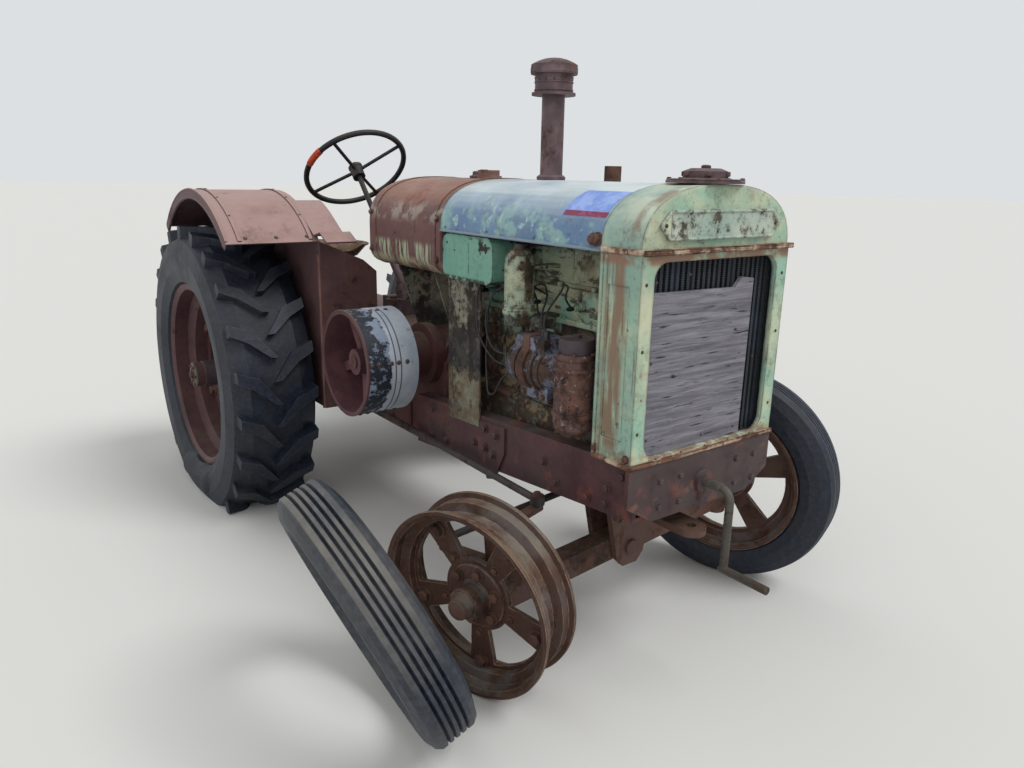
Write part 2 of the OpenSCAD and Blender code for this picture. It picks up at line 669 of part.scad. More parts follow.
module rear_tyre(side) {
    w = rear_tyre_w / 2;
    squashed_h = rear_axle_z - rear_rim_r;
    swell_r = 0.59 * squashed_h;
    swell_l = 300;
    color(rubber) in_place() difference() {
        union() {
            at_rear_wheel(side) {
                rear_carcass();
                for (i = [0 : lug_count - 1], s = [-1, 1])
                    rotate((i + s / 4) * 360 / lug_count + lug_phase) rotate([0, 90, 0])
                        translate([0, 0, carcass_r - lug_depth]) linear_extrude(lug_top - carcass_r + lug_depth)
                            polygon([for (p = lug_plan) [-s * side * p[0], p[1]]]);
            }
            difference() {
                for (s = [-1, 1]) translate([side * rear_wheel_x + s * (w + swell - swell_r), 0, squashed_h / 2]) {
                    along_y([0, swell_l / 2, 0]) cylinder(r = swell_r, h = swell_l);
                    for (e = [-1, 1]) translate([0, e * swell_l / 2, 0]) sphere(r = swell_r);
                }
                along_x([side * rear_wheel_x - w - swell - 1, 0, rear_axle_z])
                    cylinder(r = rear_rim_r + 1, h = 2 * (w + swell + 1), $fn = 96);
            }
        }
        translate([side * rear_wheel_x - 300, -500, -200]) cube([600, 1000, 200]);
    }
}
module right_rear_tyre() { rear_tyre(-1); }
module left_rear_tyre() { rear_tyre(1); }

// Plate with round corners, from its lower corner
module round_plate(w, h, r) {
    polygon(concat(
        arc([w - r, h - r], r, 0, 90, 4), arc([r, h - r], r, 90, 180, 4),
        arc([r, r], r, 180, 270, 4), arc([w - r, r], r, 270, 360, 4)));
}

// Crankcase with its pan and the cylinder block
cover_t = 8;
module engine_block() {
    sump_front = wheelbase - 160;
    color("#7f9a86") in_place() {
        for (part = [[bell_front + seat_gap, sump_front, pan_low], [sump_front, engine_front, saddle_low() + 40]])
            lengthwise(part[0], part[1]) polygon([
                [-crankcase_x, block_low], [-crankcase_x, 620], [-90, part[2]], [90, part[2]],
                [crankcase_x, 620], [crankcase_x, block_low]]);
        lengthwise(bell_front + 40, engine_front) translate([-block_x, block_low - 1])
            square([2 * block_x, head_low - block_low + 1]);
        along_y([0, -engine_front, fan_z]) cylinder(r = 12, h = fan_y - engine_front + 10);
        along_y([0, -engine_front, fan_z]) cylinder(r = 34, h = 14);
        both_sides() translate([crankcase_x - 10, -engine_front + 60, 630])
            cube([rail_x - rail_web - seat_gap - crankcase_x + 10, 70, 34]);
        for (y = [1420, 1610]) crosswise(-block_x - cover_t, cover_t + 1) translate([-y - 150, block_low + 30])
            round_plate(150, head_low - block_low - 70, 24);
        both_sides() translate([crankcase_x - 4, -engine_front + 10, block_low - 22])
            cube([14, engine_front - bell_front - 30, 16]);
    }
}

plug_at = [1400, 1545, 1690, 1850];
// Rocker cover: half its width and the height of its top
rocker_x = 88;
rocker_top = hood_low - 23;
// Plate whose upper corners are round
module round_top(w, h, r) {
    polygon(concat([[0, 0], [w, 0]], arc([w - r, h - r], r, 0, 90, 4), arc([r, h - r], r, 90, 180, 4)));
}
module cylinder_head() {
    color("#87a48f") in_place() {
        lengthwise(bell_front + 46, engine_front - 4) translate([-block_x + 6, head_low])
            square([2 * block_x - 12, head_top - head_low]);
        lengthwise(bell_front + 80, engine_front - 30) translate([-rocker_x, head_top - 1])
            round_top(2 * rocker_x, rocker_top - head_top + 1, 26);
        lengthwise(bell_front + 84, engine_front - 34) translate([-rocker_x - 5, head_top - 1])
            square([2 * rocker_x + 10, 12]);
        along_y([0, -engine_front + 20, 1072]) cylinder(r = 26, h = shell_front - 91 - engine_front + 20 - seat_gap);
        for (y = plug_at) along_x([-block_x - 34, -y, 1062]) {
            cylinder(r = 9, h = 60);
            translate([0, 0, 22]) cylinder(r = 15, h = 14, $fn = 6);
        }
        both_sides() for (y = plug_at) translate([block_x - 17, -y - 30, head_top - 1]) cylinder(r = 9, h = 14, $fn = 6);
    }
}

// Manifold on the left side with the exhaust's stub through the hood
exhaust_at = [block_x + 40, -1655];
manifold_z = head_low + 20;
port_pitch = 145;
module manifold() {
    y0 = bell_front + 100;
    color(rust) in_place() {
        along_y([block_x + 40, -y0, manifold_z]) cylinder(r = 32, h = engine_front - 90 - y0);
        for (i = [0 : 3]) {
            along_x([block_x, -y0 - 50 - i * port_pitch, manifold_z]) cylinder(r = 22, h = 40);
            translate([block_x + seat_gap, -y0 - 84 - i * port_pitch, manifold_z - 34]) cube([12, 68, 60]);
        }
        translate([exhaust_at[0], exhaust_at[1], manifold_z]) cylinder(r = 28, h = hood_top + 48 - manifold_z);
        translate([exhaust_at[0], exhaust_at[1] - 34, manifold_z - 150]) cylinder(r = 40, h = 90);
        translate([exhaust_at[0], exhaust_at[1] - 34, manifold_z - 70]) cylinder(r = 22, h = 50);
    }
}

module air_stack() {
    foot = rocker_top;
    cage = stack_top - 90;
    color("#5d4a48") in_place() translate([0, -stack_y, 0]) {
        translate([0, 0, foot]) cylinder(r = stack_r, h = cage - foot);
        translate([0, 0, cage - 18]) cylinder(r = stack_cap_r - 14, h = 60);
        translate([0, 0, cage - 24]) cylinder(r = stack_cap_r - 4, h = 8);
        translate([0, 0, cage + 40]) cylinder(r = stack_cap_r, h = 22);
        intersection() {
            translate([0, 0, cage + 62 - 110]) sphere(r = 138);
            translate([0, 0, cage + 62]) cylinder(r = stack_cap_r, h = 40);
        }
    }
}

// Fittings on the engine's right side, each from its own place: to the right, ahead, up
canister_at = [270, 1755, 1000];
canister_r = 68;
canister_top = hood_low - 11;
module filter_canister() {
    dome = 52;
    color(mint) in_place() translate([-canister_at[0], -canister_at[1], 0]) {
        translate([0, 0, canister_at[2]]) cylinder(r = 40, h = 32);
        translate([0, 0, canister_at[2] + 30]) cylinder(r = canister_r + 12, h = 20);
        translate([0, 0, canister_at[2] + 48])
            cylinder(r = canister_r, h = canister_top - dome - canister_at[2] - 48);
        translate([0, 0, canister_top - dome]) rotate_extrude($fn = 64) polygon(concat(
            [[0, -1], [canister_r, -1]], [for (a = [0 : 15 : 75]) [canister_r * cos(a), dome * sin(a)]],
            [[0, dome]]));
        translate([20, -26, canister_at[2] + 4]) cube([canister_at[0] - block_x - 20 - seat_gap, 52, 26]);
        translate([20, -14, canister_top - 70]) cube([canister_at[0] - block_x - 20 - seat_gap, 28, 12]);
    }
}
magneto_at = [255, 1735, 892];
module magneto() {
    base = magneto_at[2] - 92;
    color(blue_grey) in_place() {
        along_y([-magneto_at[0], -magneto_at[1], magneto_at[2]]) cylinder(r = 66, h = 150);
        along_y([-magneto_at[0], -magneto_at[1] - 150, magneto_at[2]]) cylinder(r = 52, h = 70);
        along_y([-magneto_at[0], -magneto_at[1] - 30, magneto_at[2]]) cylinder(r = 72, h = 16);
        along_y([-magneto_at[0], -magneto_at[1] - 110, magneto_at[2]]) cylinder(r = 72, h = 16);
        translate([-magneto_at[0] - 45, -magneto_at[1] - 155, magneto_at[2] + 38]) cube([90, 140, 56]);
        for (i = [0 : 3]) translate([-magneto_at[0] - 24 + 16 * i, -magneto_at[1] - 140 + 34 * i, magneto_at[2] + 90])
            cylinder(r = 8, h = 14);
        translate([-magneto_at[0] - 35, -magneto_at[1] - 165, base])
            cube([magneto_at[0] + 35 - block_x - seat_gap, 130, 40]);
        translate([-magneto_at[0] - 30, -magneto_at[1] - 145, base + 35]) cube([60, 110, 40]);
    }
}
governor_at = [285, engine_front - 41, block_low];
module governor() {
    r = 60;
    color(rust) in_place() translate([-governor_at[0], -governor_at[1], governor_at[2]]) {
        translate([0, 0, 24]) cylinder(r = r, h = 196);
        cylinder(r1 = 34, r2 = r, h = 25);
        translate([0, 0, 60]) cylinder(r = r + 5, h = 12);
        translate([0, 0, 219]) cylinder(r = r - 6, h = 20);
        translate([0, 0, 238]) cylinder(r = r - 12, h = 34);
        translate([30, -20, 85]) cube([governor_at[0] - block_x - 30 - seat_gap, 60, 90]);
    }
}

// Four-bladed fan on the engine's front
fan_y = engine_front + 30;
fan_z = 880;
fan_r = 150;
module fan() {
    color(iron) in_place() along_y([0, -fan_y + 8, fan_z]) difference() {
        union() {
            cylinder(r = 36, h = 26);
            for (i = [0 : 3]) rotate(90 * i + 45) translate([fan_r / 2 + 14, 0, 13]) rotate([24, 0, 0])
                cube([fan_r - 28, 62, 4], center = true);
            for (i = [0 : 3]) rotate(90 * i + 45) translate([20, -9, 6]) cube([60, 18, 14]);
        }
        translate([0, 0, -4]) cylinder(r = 12 + run_gap, h = 24);
    }
}

// Radiator
core_front = shell_front - 31;
core_t = 60;
module radiator_core() {
    x = hood_x - 13;
    low = shell_low + 14 + seat_gap;
    h = hood_low - 11 - shell_low - 14 - 2 * seat_gap;
    fins = 24;
    pitch = 2 * grille_x / fins;
    color("#2e2a28") in_place() difference() {
        translate([-x, -core_front, low]) cube([2 * x, core_t, h]);
        for (i = [0 : fins - 1]) translate([-grille_x + i * pitch, -core_front - 1, grille_low])
            cube([pitch / 2, 9, grille_top - grille_low]);
    }
}
module radiator_shell() {
    x = hood_x + 4;
    top = hood_top + 1;
    body_front = shell_front - 6;
    cavity_top = hood_low - 11;
    panel_t = 3;
    bead_r = 5;
    color(mint) in_place() {
        difference() {
            union() {
                lengthwise(shell_back, body_front)
                    polygon(concat(arch(x, hood_low, top), [[-x, shell_low], [x, shell_low]]));
                lengthwise(body_front - 1, shell_front)
                    polygon([[-x, shell_low], [x, shell_low], [x, hood_low + 10], [-x, hood_low + 10]]);
                lengthwise(body_front - 1, shell_front) polygon([
                    [-238, hood_low + 72], [-205, hood_low + 38], [205, hood_low + 38],
                    [238, hood_low + 72], [205, hood_low + 106], [-205, hood_low + 106]]);
                both_sides() for (y = [shell_back + 10, shell_back + 26])
                    translate([x, -y, shell_low + 4]) cylinder(r = bead_r, h = hood_low - shell_low - 8);
            }
            lengthwise(shell_back - 1, body_front - 10) translate([-x + 14, shell_low + 14])
                square([2 * x - 28, cavity_top - shell_low - 14]);
            both_sides() translate([x - panel_t, -body_front + 34, shell_low + 70])
                cube([panel_t + 1, body_front - shell_back - 70, hood_low - shell_low - 150]);
            lengthwise(body_front - 20, shell_front + 1) rounded_rect(grille_x, grille_low, grille_top, 46);
        }
    }
}
module radiator_cap() {
    color(rust) in_place() translate([0, -shell_front + 76, hood_top + 1 + seat_gap - 6]) {
        translate([0, 0, 6]) cylinder(r = 104, h = 7);
        translate([0, 0, 13]) cylinder(r1 = 90, r2 = 62, h = 8);
        translate([0, 0, 21]) cylinder(r = 60, h = 16);
        translate([0, 0, 37]) cylinder(r1 = 60, r2 = 40, h = 8);
    }
}
module grille_board() {
    board_t = 12;
    front = shell_front - 16 - seat_gap;
    low = shell_low + 14 + seat_gap;
    color("#6f7077") in_place() lengthwise(front - board_t, front)
        polygon([[-262, low], [168, low], [172, 1180], [120, 1186], [92, 1158], [-262, 1164]]);
}

// Arched hood sheet with holes for the stack and the exhaust
module hood() {
    color(blue_grey) in_place() difference() {
        lengthwise(bell_front + seat_gap, shell_back) polygon(concat(
            arch(hood_x, hood_low, hood_top),
            [for (p = arch(hood_x - sheet, hood_low, hood_top - sheet)) [-p[0], p[1]]]));
        translate([0, -stack_y, hood_low]) cylinder(r = stack_r + seat_gap, h = 400);
        translate([exhaust_at[0], exhaust_at[1], hood_low - 20]) cylinder(r = 33, h = 400);
    }
}

module fuel_tank() {
    r = 60;
    color(rust) in_place() {
        lengthwise(tank_back, bell_front) polygon(concat(
            arch(hood_x, hood_low, hood_top),
            arc([-hood_x + r, tank_low + r], r, 180, 270, 6), arc([hood_x - r, tank_low + r], r, 270, 360, 6)));
        for (y = [tank_back + 30, bell_front - 56]) lengthwise(y, y + 26) polygon(concat(
            arch(hood_x + 3, hood_low, hood_top + 3),
            arc([-hood_x + r, tank_low + r], r + 3, 180, 270, 6),
            arc([hood_x - r, tank_low + r], r + 3, 270, 360, 6)));
        translate([0, -1170, hood_top - 3]) cylinder(r = 48, h = 12);
        translate([0, -1170, hood_top + 9]) cylinder(r = 40, h = 20);
    }
}

// Small rounded tank below the hood's rear corner
module starting_tank() {
    color(mint) in_place() crosswise(-hood_x + 8, 120) polygon(concat(
        arc([-1345, hood_low - 42], 36, 90, 0, 5), arc([-1345, tank_low + 38], 36, 0, -90, 5),
        arc([-1567, tank_low + 38], 36, 270, 180, 5), arc([-1567, hood_low - 42], 36, 180, 90, 5)));
}

// Side sheets that carry the hood's rear end, and the tank's cradle
module tank_support() {
    color("#8c9088") in_place() {
        both_sides() crosswise(rail_x + seat_gap, 6) polygon([
            [-1320, rail_top(1320) - 40], [-1320, tank_low + 1.5], [-1515, tank_low + 1.5],
            [-1515, rail_top(1515) - 40]]);
        for (y = [tank_back + 70, bell_front - 190]) lengthwise(y, y + 12) polygon([
            [-120, case_top + seat_gap], [120, case_top + seat_gap],
            [210, tank_low - seat_gap], [-210, tank_low - seat_gap]]);
    }
}

// Steering gear box and the tube round its shaft
tube_l = 380;
module steering_column() {
    color(iron) in_place() difference() {
        union() {
            translate([-70, wheel_at[1] - column_l * shaft_dir[1] - 80, case_top]) cube([140, 170, 70]);
            translate(wheel_at - column_l * shaft_dir) rotate([-wheel_tilt, 0, 0]) translate([0, 0, -60]) {
                cylinder(r = 48, h = 80);
                cylinder(r = 22, h = tube_l);
            }
        }
        translate(wheel_at - column_l * shaft_dir) rotate([-wheel_tilt, 0, 0]) translate([0, 0, -20])
            cylinder(r = 12 + run_gap, h = tube_l);
        translate([-200, -900, case_top - 100]) cube([400, 900, 100]);
    }
}
module steering_wheel() {
    grip = 13;
    color("#26262a") in_place() translate(wheel_at) rotate([-wheel_tilt, 0, 0]) {
        rotate_extrude($fn = 96) translate([wheel_r - grip, 0]) circle(r = grip, $fn = 12);
        translate([0, 0, -52]) cylinder(r = 30, h = 52);
        for (i = [0 : 3]) rotate(90 * i + 45) rotate([0, 90, 0]) translate([14, 0, 20])
            rotate([0, -3, 0]) cylinder(r = 8, h = wheel_r - grip - 24);
        translate([0, 0, -column_l - 10]) cylinder(r = 12, h = column_l);
    }
}

// Belt pulley: a faced rim on arms
module belt_pulley() {
    wall = 14;
    arms = 5;
    color("#5c5f66") in_place() along_x([-pulley_x, -pulley_y, pulley_z]) difference() {
        union() {
            difference() {
                cylinder(r = pulley_r, h = pulley_w, $fn = 96);
                translate([0, 0, -1]) cylinder(r = pulley_r - wall, h = pulley_w + 2, $fn = 96);
            }
            translate([0, 0, 40]) cylinder(r = 48, h = pulley_w - 40 - 12);
            for (i = [0 : arms - 1]) rotate(i * 360 / arms) translate([30, -18, 78])
                cube([pulley_r - wall - 24, 36, 22]);
        }
        translate([0, 0, 34]) cylinder(r = pulley_shaft_r + run_gap, h = pulley_w);
    }
}

// Starting crank: shaft, throw and handle
module crank() {
    r = 12;
    arm_y = shell_front + 104;
    bend = 34;
    color("#6a625c") in_place() translate([0, 0, crank_z]) {
        along_y([0, -rail_front + 100, 0]) cylinder(r = 14, h = arm_y - bend - rail_front + 100);
        translate([0, -arm_y + bend, -bend]) rotate([180, 0, 0]) rotate([0, 90, 0])
            rotate_extrude(angle = 90, $fn = 64) translate([bend, 0]) circle(r = r, $fn = 24);
        translate([0, -arm_y, -crank_throw + 6]) cylinder(r = r, h = crank_throw - bend - 6);
        along_y([0, -arm_y + r, -crank_throw]) cylinder(r = r, h = handle_end - arm_y + r);
    }
}

// Fender: arched sheet, rolled outer lip and inner panel
arch_at = [-160, 745];
arch_front = 136;
arch_back = 46;
panel_front = -610;
module fender(side) {
    t = 5;
    lip = 34;
    color("#a9837a") in_place() mirror([side < 0 ? 1 : 0, 0, 0]) {
        crosswise(fender_in, fender_out - fender_in) polygon(concat(
            arc(arch_at, fender_r, arch_back, arch_front, 20),
            arc(arch_at, fender_r - t, arch_front, arch_back, 20)));
        crosswise(fender_out - t, t) polygon(concat(
            arc(arch_at, fender_r, arch_back, arch_front, 20),
            arc(arch_at, fender_r - lip, arch_front, arch_back, 20)));
        difference() {
            crosswise(fender_in, t) polygon(concat(
                arc(arch_at, fender_r, arch_back, arch_front, 20),
                [[panel_front, fender_low], [-250, fender_low], [-140, rear_axle_z], [140, rear_axle_z],
                    [230, rear_axle_z + 190]]));
            along_x([fender_in - 1, 0, rear_axle_z]) cylinder(r = flange_r + seat_gap, h = t + 2);
        }
        for (x = [fender_out - 62, fender_in + 26]) crosswise(x, 14) polygon(concat(
            arc(arch_at, fender_r + 5, arch_back + 1, arch_front - 1, 20),
            arc(arch_at, fender_r - 1, arch_front - 1, arch_back + 1, 20)));
        translate([fender_in, panel_front, fender_low]) cube([14, 12, 640]);
        if (side < 0) torn_flap(t);
    }
}
// Strip of the right fender's sheet that is torn off and bent toward the tank
module torn_flap(t) {
    from = arch_front - 12;
    root = arch_at + fender_r * [cos(from), sin(from)];
    crosswise(fender_in - flap_w, flap_w + 20) polygon(concat(
        arc(arch_at, fender_r, from - 14, from, 5),
        [root + [-90, -58], root + [-150, -44], root + [-214, -78],
            root + [-212, -84], root + [-150, -50], root + [-92, -64]],
        arc(arch_at, fender_r - t, from, from - 14, 5)));
}
flap_w = 110;
module right_fender() { fender(-1); }
module left_fender() { fender(1); }

// Foot boards over the axle housings and the shields ahead of them
module platform() {
    board_z = rear_axle_z + housing_r + seat_gap;
    t = 6;
    x0 = case_x + 50 + clear;
    shield_y = panel_front - t;
    shield_top = arch_at[1] + fender_r * sin(arch_front);
    color("#5a3a35") in_place() both_sides() {
        translate([x0, panel_front, board_z]) cube([fender_in - seat_gap - x0, 760, t]);
        lengthwise(-panel_front, -shield_y) polygon([
            [case_x + seat_gap, fender_low], [fender_in + 5, fender_low],
            [fender_in + 5, shield_top], [case_x + 60, tank_low - 10], [case_x + seat_gap, tank_low - 60]]);
    }
}

// Pan seat on a sprung bar
module seat() {
    r = 205;
    color(rust) in_place() {
        translate([0, seat_y, seat_z]) difference() {
            translate([0, 0, -62]) cylinder(r1 = 150, r2 = r, h = 62);
            translate([0, 0, -56]) cylinder(r1 = 144, r2 = r + 2, h = 64);
            translate([-120, -r - 20, -30]) cube([240, 60, 60]);
        }
        translate([-30, 60, case_top + seat_gap]) cube([60, seat_y - 60 + 40, 14]);
        translate([-30, seat_y - 20, case_top + seat_gap]) cube([60, 14, seat_z - 62 - case_top]);
        translate([-30, seat_y - 60, seat_z - 74]) cube([60, 120, 12]);
    }
}

// Bar below the gearbox, hung from its back cover
module drawbar() {
    w = 76;
    t = 28;
    hanger_y = case_back - 28;
    front_y = -220;
    color(dark_red) in_place() difference() {
        union() {
            translate([-w / 2, front_y, drawbar_z - t / 2]) cube([w, drawbar_y - front_y, t]);
            translate([0, drawbar_y, drawbar_z - t / 2]) cylinder(r = w / 2, h = t);
            translate([-w / 2, front_y, drawbar_z]) cube([w, 60, case_low - drawbar_z - seat_gap]);
            translate([-60, hanger_y, drawbar_z - t / 2]) cube([120, 28, cover_low - drawbar_z + t / 2 - seat_gap]);
        }
        translate([0, drawbar_y, drawbar_z - t]) cylinder(r = drawbar_hole_r, h = 2 * t);
    }
}

// Gear lever, hand lever and the two pedals
module controls() {
    color(iron) in_place() {
        translate([60, -370, case_top + seat_gap]) cylinder(r = 26, h = 30);
        translate([60, -370, case_top + 20]) rotate([-14, 0, 0]) cylinder(r = 9, h = 300);
        translate([60, -370, case_top + 20]) rotate([-14, 0, 0]) translate([0, 0, 300]) sphere(r = 22);
        both_sides() {
            along_x([case_x + seat_gap, -470, 700]) cylinder(r = 14, h = 66);
            translate([case_x + 40, -470, 700]) rotate([34, 0, 0]) {
                translate([-6, -12, 0]) cube([12, 24, 150]);
                translate([-35, -30, 146]) cube([82, 60, 10]);
            }
        }
    }
}

gearbox_case();
right_frame_rail();
left_frame_rail();
front_bolster();
axle_bracket();
front_axle();
right_knuckle();
left_knuckle();
tie_rod();
drag_link();
pitman_arm();
right_front_rim();
left_front_rim();
left_front_tyre();
loose_tyre();
right_rear_rim();
left_rear_rim();
right_rear_tyre();
left_rear_tyre();
engine_block();
cylinder_head();
manifold();
air_stack();
filter_canister();
magneto();
governor();
fan();
radiator_core();
radiator_shell();
radiator_cap();
grille_board();
hood();
fuel_tank();
starting_tank();
tank_support();
steering_column();
steering_wheel();
belt_pulley();
crank();
right_fender();
left_fender();
platform();
seat();
drawbar();
controls();
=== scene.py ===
import json
import math
import numpy
import random
import bpy
import bmesh
from mathutils import Matrix, Vector


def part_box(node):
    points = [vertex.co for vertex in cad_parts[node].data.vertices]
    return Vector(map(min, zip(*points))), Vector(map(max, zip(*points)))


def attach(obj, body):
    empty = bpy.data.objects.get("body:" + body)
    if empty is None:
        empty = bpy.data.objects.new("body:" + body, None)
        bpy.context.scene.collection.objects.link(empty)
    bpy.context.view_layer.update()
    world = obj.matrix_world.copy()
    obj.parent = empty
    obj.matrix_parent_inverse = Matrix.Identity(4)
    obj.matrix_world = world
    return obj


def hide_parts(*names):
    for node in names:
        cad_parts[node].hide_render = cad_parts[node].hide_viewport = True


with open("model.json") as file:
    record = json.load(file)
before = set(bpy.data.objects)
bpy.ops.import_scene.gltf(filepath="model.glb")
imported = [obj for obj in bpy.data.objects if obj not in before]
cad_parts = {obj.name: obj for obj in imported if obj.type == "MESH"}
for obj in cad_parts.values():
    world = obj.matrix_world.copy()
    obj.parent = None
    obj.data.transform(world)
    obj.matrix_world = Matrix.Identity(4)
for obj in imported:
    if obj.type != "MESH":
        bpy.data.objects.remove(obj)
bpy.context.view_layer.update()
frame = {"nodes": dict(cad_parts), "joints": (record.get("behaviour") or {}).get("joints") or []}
scene = bpy.context.scene
nodes = frame["nodes"]
print("frame loaded,", len(nodes), "nodes")

# Places are given from the ground under the rear axle: to the tractor's left, ahead, up.
centreX = (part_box("left_rear_rim")[1].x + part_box("right_rear_rim")[0].x) / 2
rearAxleY = (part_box("right_rear_rim")[0].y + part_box("right_rear_rim")[1].y) / 2
rearAxleZ = (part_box("right_rear_rim")[0].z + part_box("right_rear_rim")[1].z) / 2


def at(left, ahead, up):
    return Vector((centreX + left, rearAxleY - ahead, up))


def tone(code):
    # a hex colour as a linear RGBA tuple
    parts = [int(code[i:i + 2], 16) / 255 for i in (1, 3, 5)]
    return tuple(c / 12.92 if c <= 0.04045 else ((c + 0.055) / 1.055) ** 2.4 for c in parts) + (1.0,)


# Camera, floor and light

photoCamera = {
    "place": (-1.6872, 3.5909, 1.4463),
    "right": (0.8034, -0.5952, 0.0196),
    "up": (0.1397, 0.2204, 0.9654),
    "forward": (0.5789, 0.7728, -0.2602),
    "lens": 27.22,
    "sensor": 36.0,
}


def addCamera(spec):
    bpy.ops.object.camera_add(location=at(*spec["place"]))
    camera = bpy.context.object
    right, up, forward = Vector(spec["right"]), Vector(spec["up"]), Vector(spec["forward"])
    turn = Matrix((right, up, -forward)).transposed().to_4x4()
    camera.matrix_world = Matrix.Translation(at(*spec["place"])) @ turn
    camera.data.lens = spec["lens"]
    camera.data.sensor_width = spec["sensor"]
    camera.data.sensor_fit = "HORIZONTAL"
    camera.data.clip_end = 200
    scene.camera = camera


studio = {
    "floorHalf": 80.0,
    "floorTone": "#d6d6d3",
    "skyTone": "#dde0e2",
    "skyFill": 0.5,
    "keyFrom": (1.8, 3.0, 4.6),
    "keyStrength": 1.6,
    "keyAngle": 28.0,
    "fillFrom": (-4.2, 2.0, 2.6),
    "fillStrength": 0.75,
    "fillAngle": 70.0,
    "backFrom": (-1.5, -4.0, 4.0),
    "backStrength": 0.35,
    "backAngle": 70.0,
}


def addSun(name, source, strength, angle):
    bpy.ops.object.light_add(type="SUN", location=at(*source))
    lamp = bpy.context.object
    lamp.name = name
    lamp.data.energy = strength
    lamp.data.angle = math.radians(angle)
    lamp.rotation_mode = "QUATERNION"
    aim = at(0, 0, 0) - at(*source)
    lamp.rotation_quaternion = aim.to_track_quat("-Z", "Y")


def addStudio(spec):
    bpy.ops.mesh.primitive_plane_add(size=2 * spec["floorHalf"], location=(0, 0, 0))
    floor = bpy.context.object
    floor.name = "studioFloor"
    paper = bpy.data.materials.new("floorPaper")
    paper.use_nodes = True
    surface = paper.node_tree.nodes["Principled BSDF"]
    surface.inputs["Base Color"].default_value = tone(spec["floorTone"])
    surface.inputs["Roughness"].default_value = 0.95
    surface.inputs["Specular IOR Level"].default_value = 0.1
    floor.data.materials.append(paper)
    world = bpy.data.worlds.new("studioSky")
    scene.world = world
    world.use_nodes = True
    tree = world.node_tree
    tree.nodes.clear()
    out = tree.nodes.new("ShaderNodeOutputWorld")
    fill = tree.nodes.new("ShaderNodeBackground")
    seen = tree.nodes.new("ShaderNodeBackground")
    path = tree.nodes.new("ShaderNodeLightPath")
    most = tree.nodes.new("ShaderNodeMath")
    mixer = tree.nodes.new("ShaderNodeMixShader")
    most.operation = "MAXIMUM"
    fill.inputs["Color"].default_value = tone("#ffffff")
    fill.inputs["Strength"].default_value = spec["skyFill"]
    seen.inputs["Color"].default_value = tone(spec["skyTone"])
    seen.inputs["Strength"].default_value = 1.0
    tree.links.new(path.outputs["Is Camera Ray"], most.inputs[0])
    tree.links.new(path.outputs["Is Glossy Ray"], most.inputs[1])
    tree.links.new(most.outputs[0], mixer.inputs[0])
    tree.links.new(fill.outputs[0], mixer.inputs[1])
    tree.links.new(seen.outputs[0], mixer.inputs[2])
    tree.links.new(mixer.outputs[0], out.inputs[0])
    for name in ("key", "fill", "back"):
        addSun(name + "Light", spec[name + "From"], spec[name + "Strength"], spec[name + "Angle"])
    scene.view_settings.view_transform = "Standard"


addCamera(photoCamera)
addStudio(studio)
print("camera, floor and lamps in place")

# Shader helpers


def addNode(tree, kind, sockets=None, **settings):
    made = tree.nodes.new(kind)
    for name, value in settings.items():
        setattr(made, name, value)
    for name, value in (sockets or {}).items():
        feed(tree, made.inputs[name], value)
    return made


def feed(tree, socket, value):
    # a link where the value is another node's socket, else the plain value
    if isinstance(value, bpy.types.NodeSocket):
        tree.links.new(value, socket)
    else:
        socket.default_value = value


def addGroup(tree, group, sockets):
    return addNode(tree, "ShaderNodeGroup", sockets, node_tree=group)


def noiseMask(tree, vector, scale, low, high, detail=6.0, rough=0.6):
    # a noise pattern stretched so that low becomes 0 and high becomes 1
    cloud = addNode(tree, "ShaderNodeTexNoise",
                    {"Vector": vector, "Scale": scale, "Detail": detail, "Roughness": rough})
    return ramp(tree, cloud.outputs["Fac"], low, high)


def ramp(tree, value, low, high):
    made = addNode(tree, "ShaderNodeMapRange", {"Value": value, "From Min": low, "From Max": high},
                   interpolation_type="SMOOTHSTEP")
    return made.outputs["Result"]


def mixTones(tree, factor, first, second):
    # inputs 6 and 7 and output 2 are the mix node's colour sockets
    made = addNode(tree, "ShaderNodeMix", {0: factor, 6: first, 7: second}, data_type="RGBA")
    return made.outputs[2]


def calc(tree, operation, first, second=0.0, clamp=False):
    made = addNode(tree, "ShaderNodeMath", {0: first, 1: second}, operation=operation, use_clamp=clamp)
    return made.outputs[0]


def times(tree, first, second):
    return calc(tree, "MULTIPLY", first, second)


def minus(tree, first, second):
    return calc(tree, "SUBTRACT", first, second)


def plus(tree, first, second):
    return calc(tree, "ADD", first, second)


def vectorCalc(tree, operation, first, second=(0, 0, 0)):
    return addNode(tree, "ShaderNodeVectorMath", {0: first, 1: second}, operation=operation)


def stretched(tree, vector, scale):
    return addNode(tree, "ShaderNodeMapping", {"Vector": vector, "Scale": scale}).outputs[0]


def newGroup(name, inputs, outputs):
    tree = bpy.data.node_groups.new(name, "ShaderNodeTree")
    for label, kind, value in inputs:
        socket = tree.interface.new_socket(label, in_out="INPUT", socket_type="NodeSocket" + kind)
        if value is not None:
            socket.default_value = value
    for label, kind in outputs:
        tree.interface.new_socket(label, in_out="OUTPUT", socket_type="NodeSocket" + kind)
    return tree, tree.nodes.new("NodeGroupInput").outputs, tree.nodes.new("NodeGroupOutput").inputs


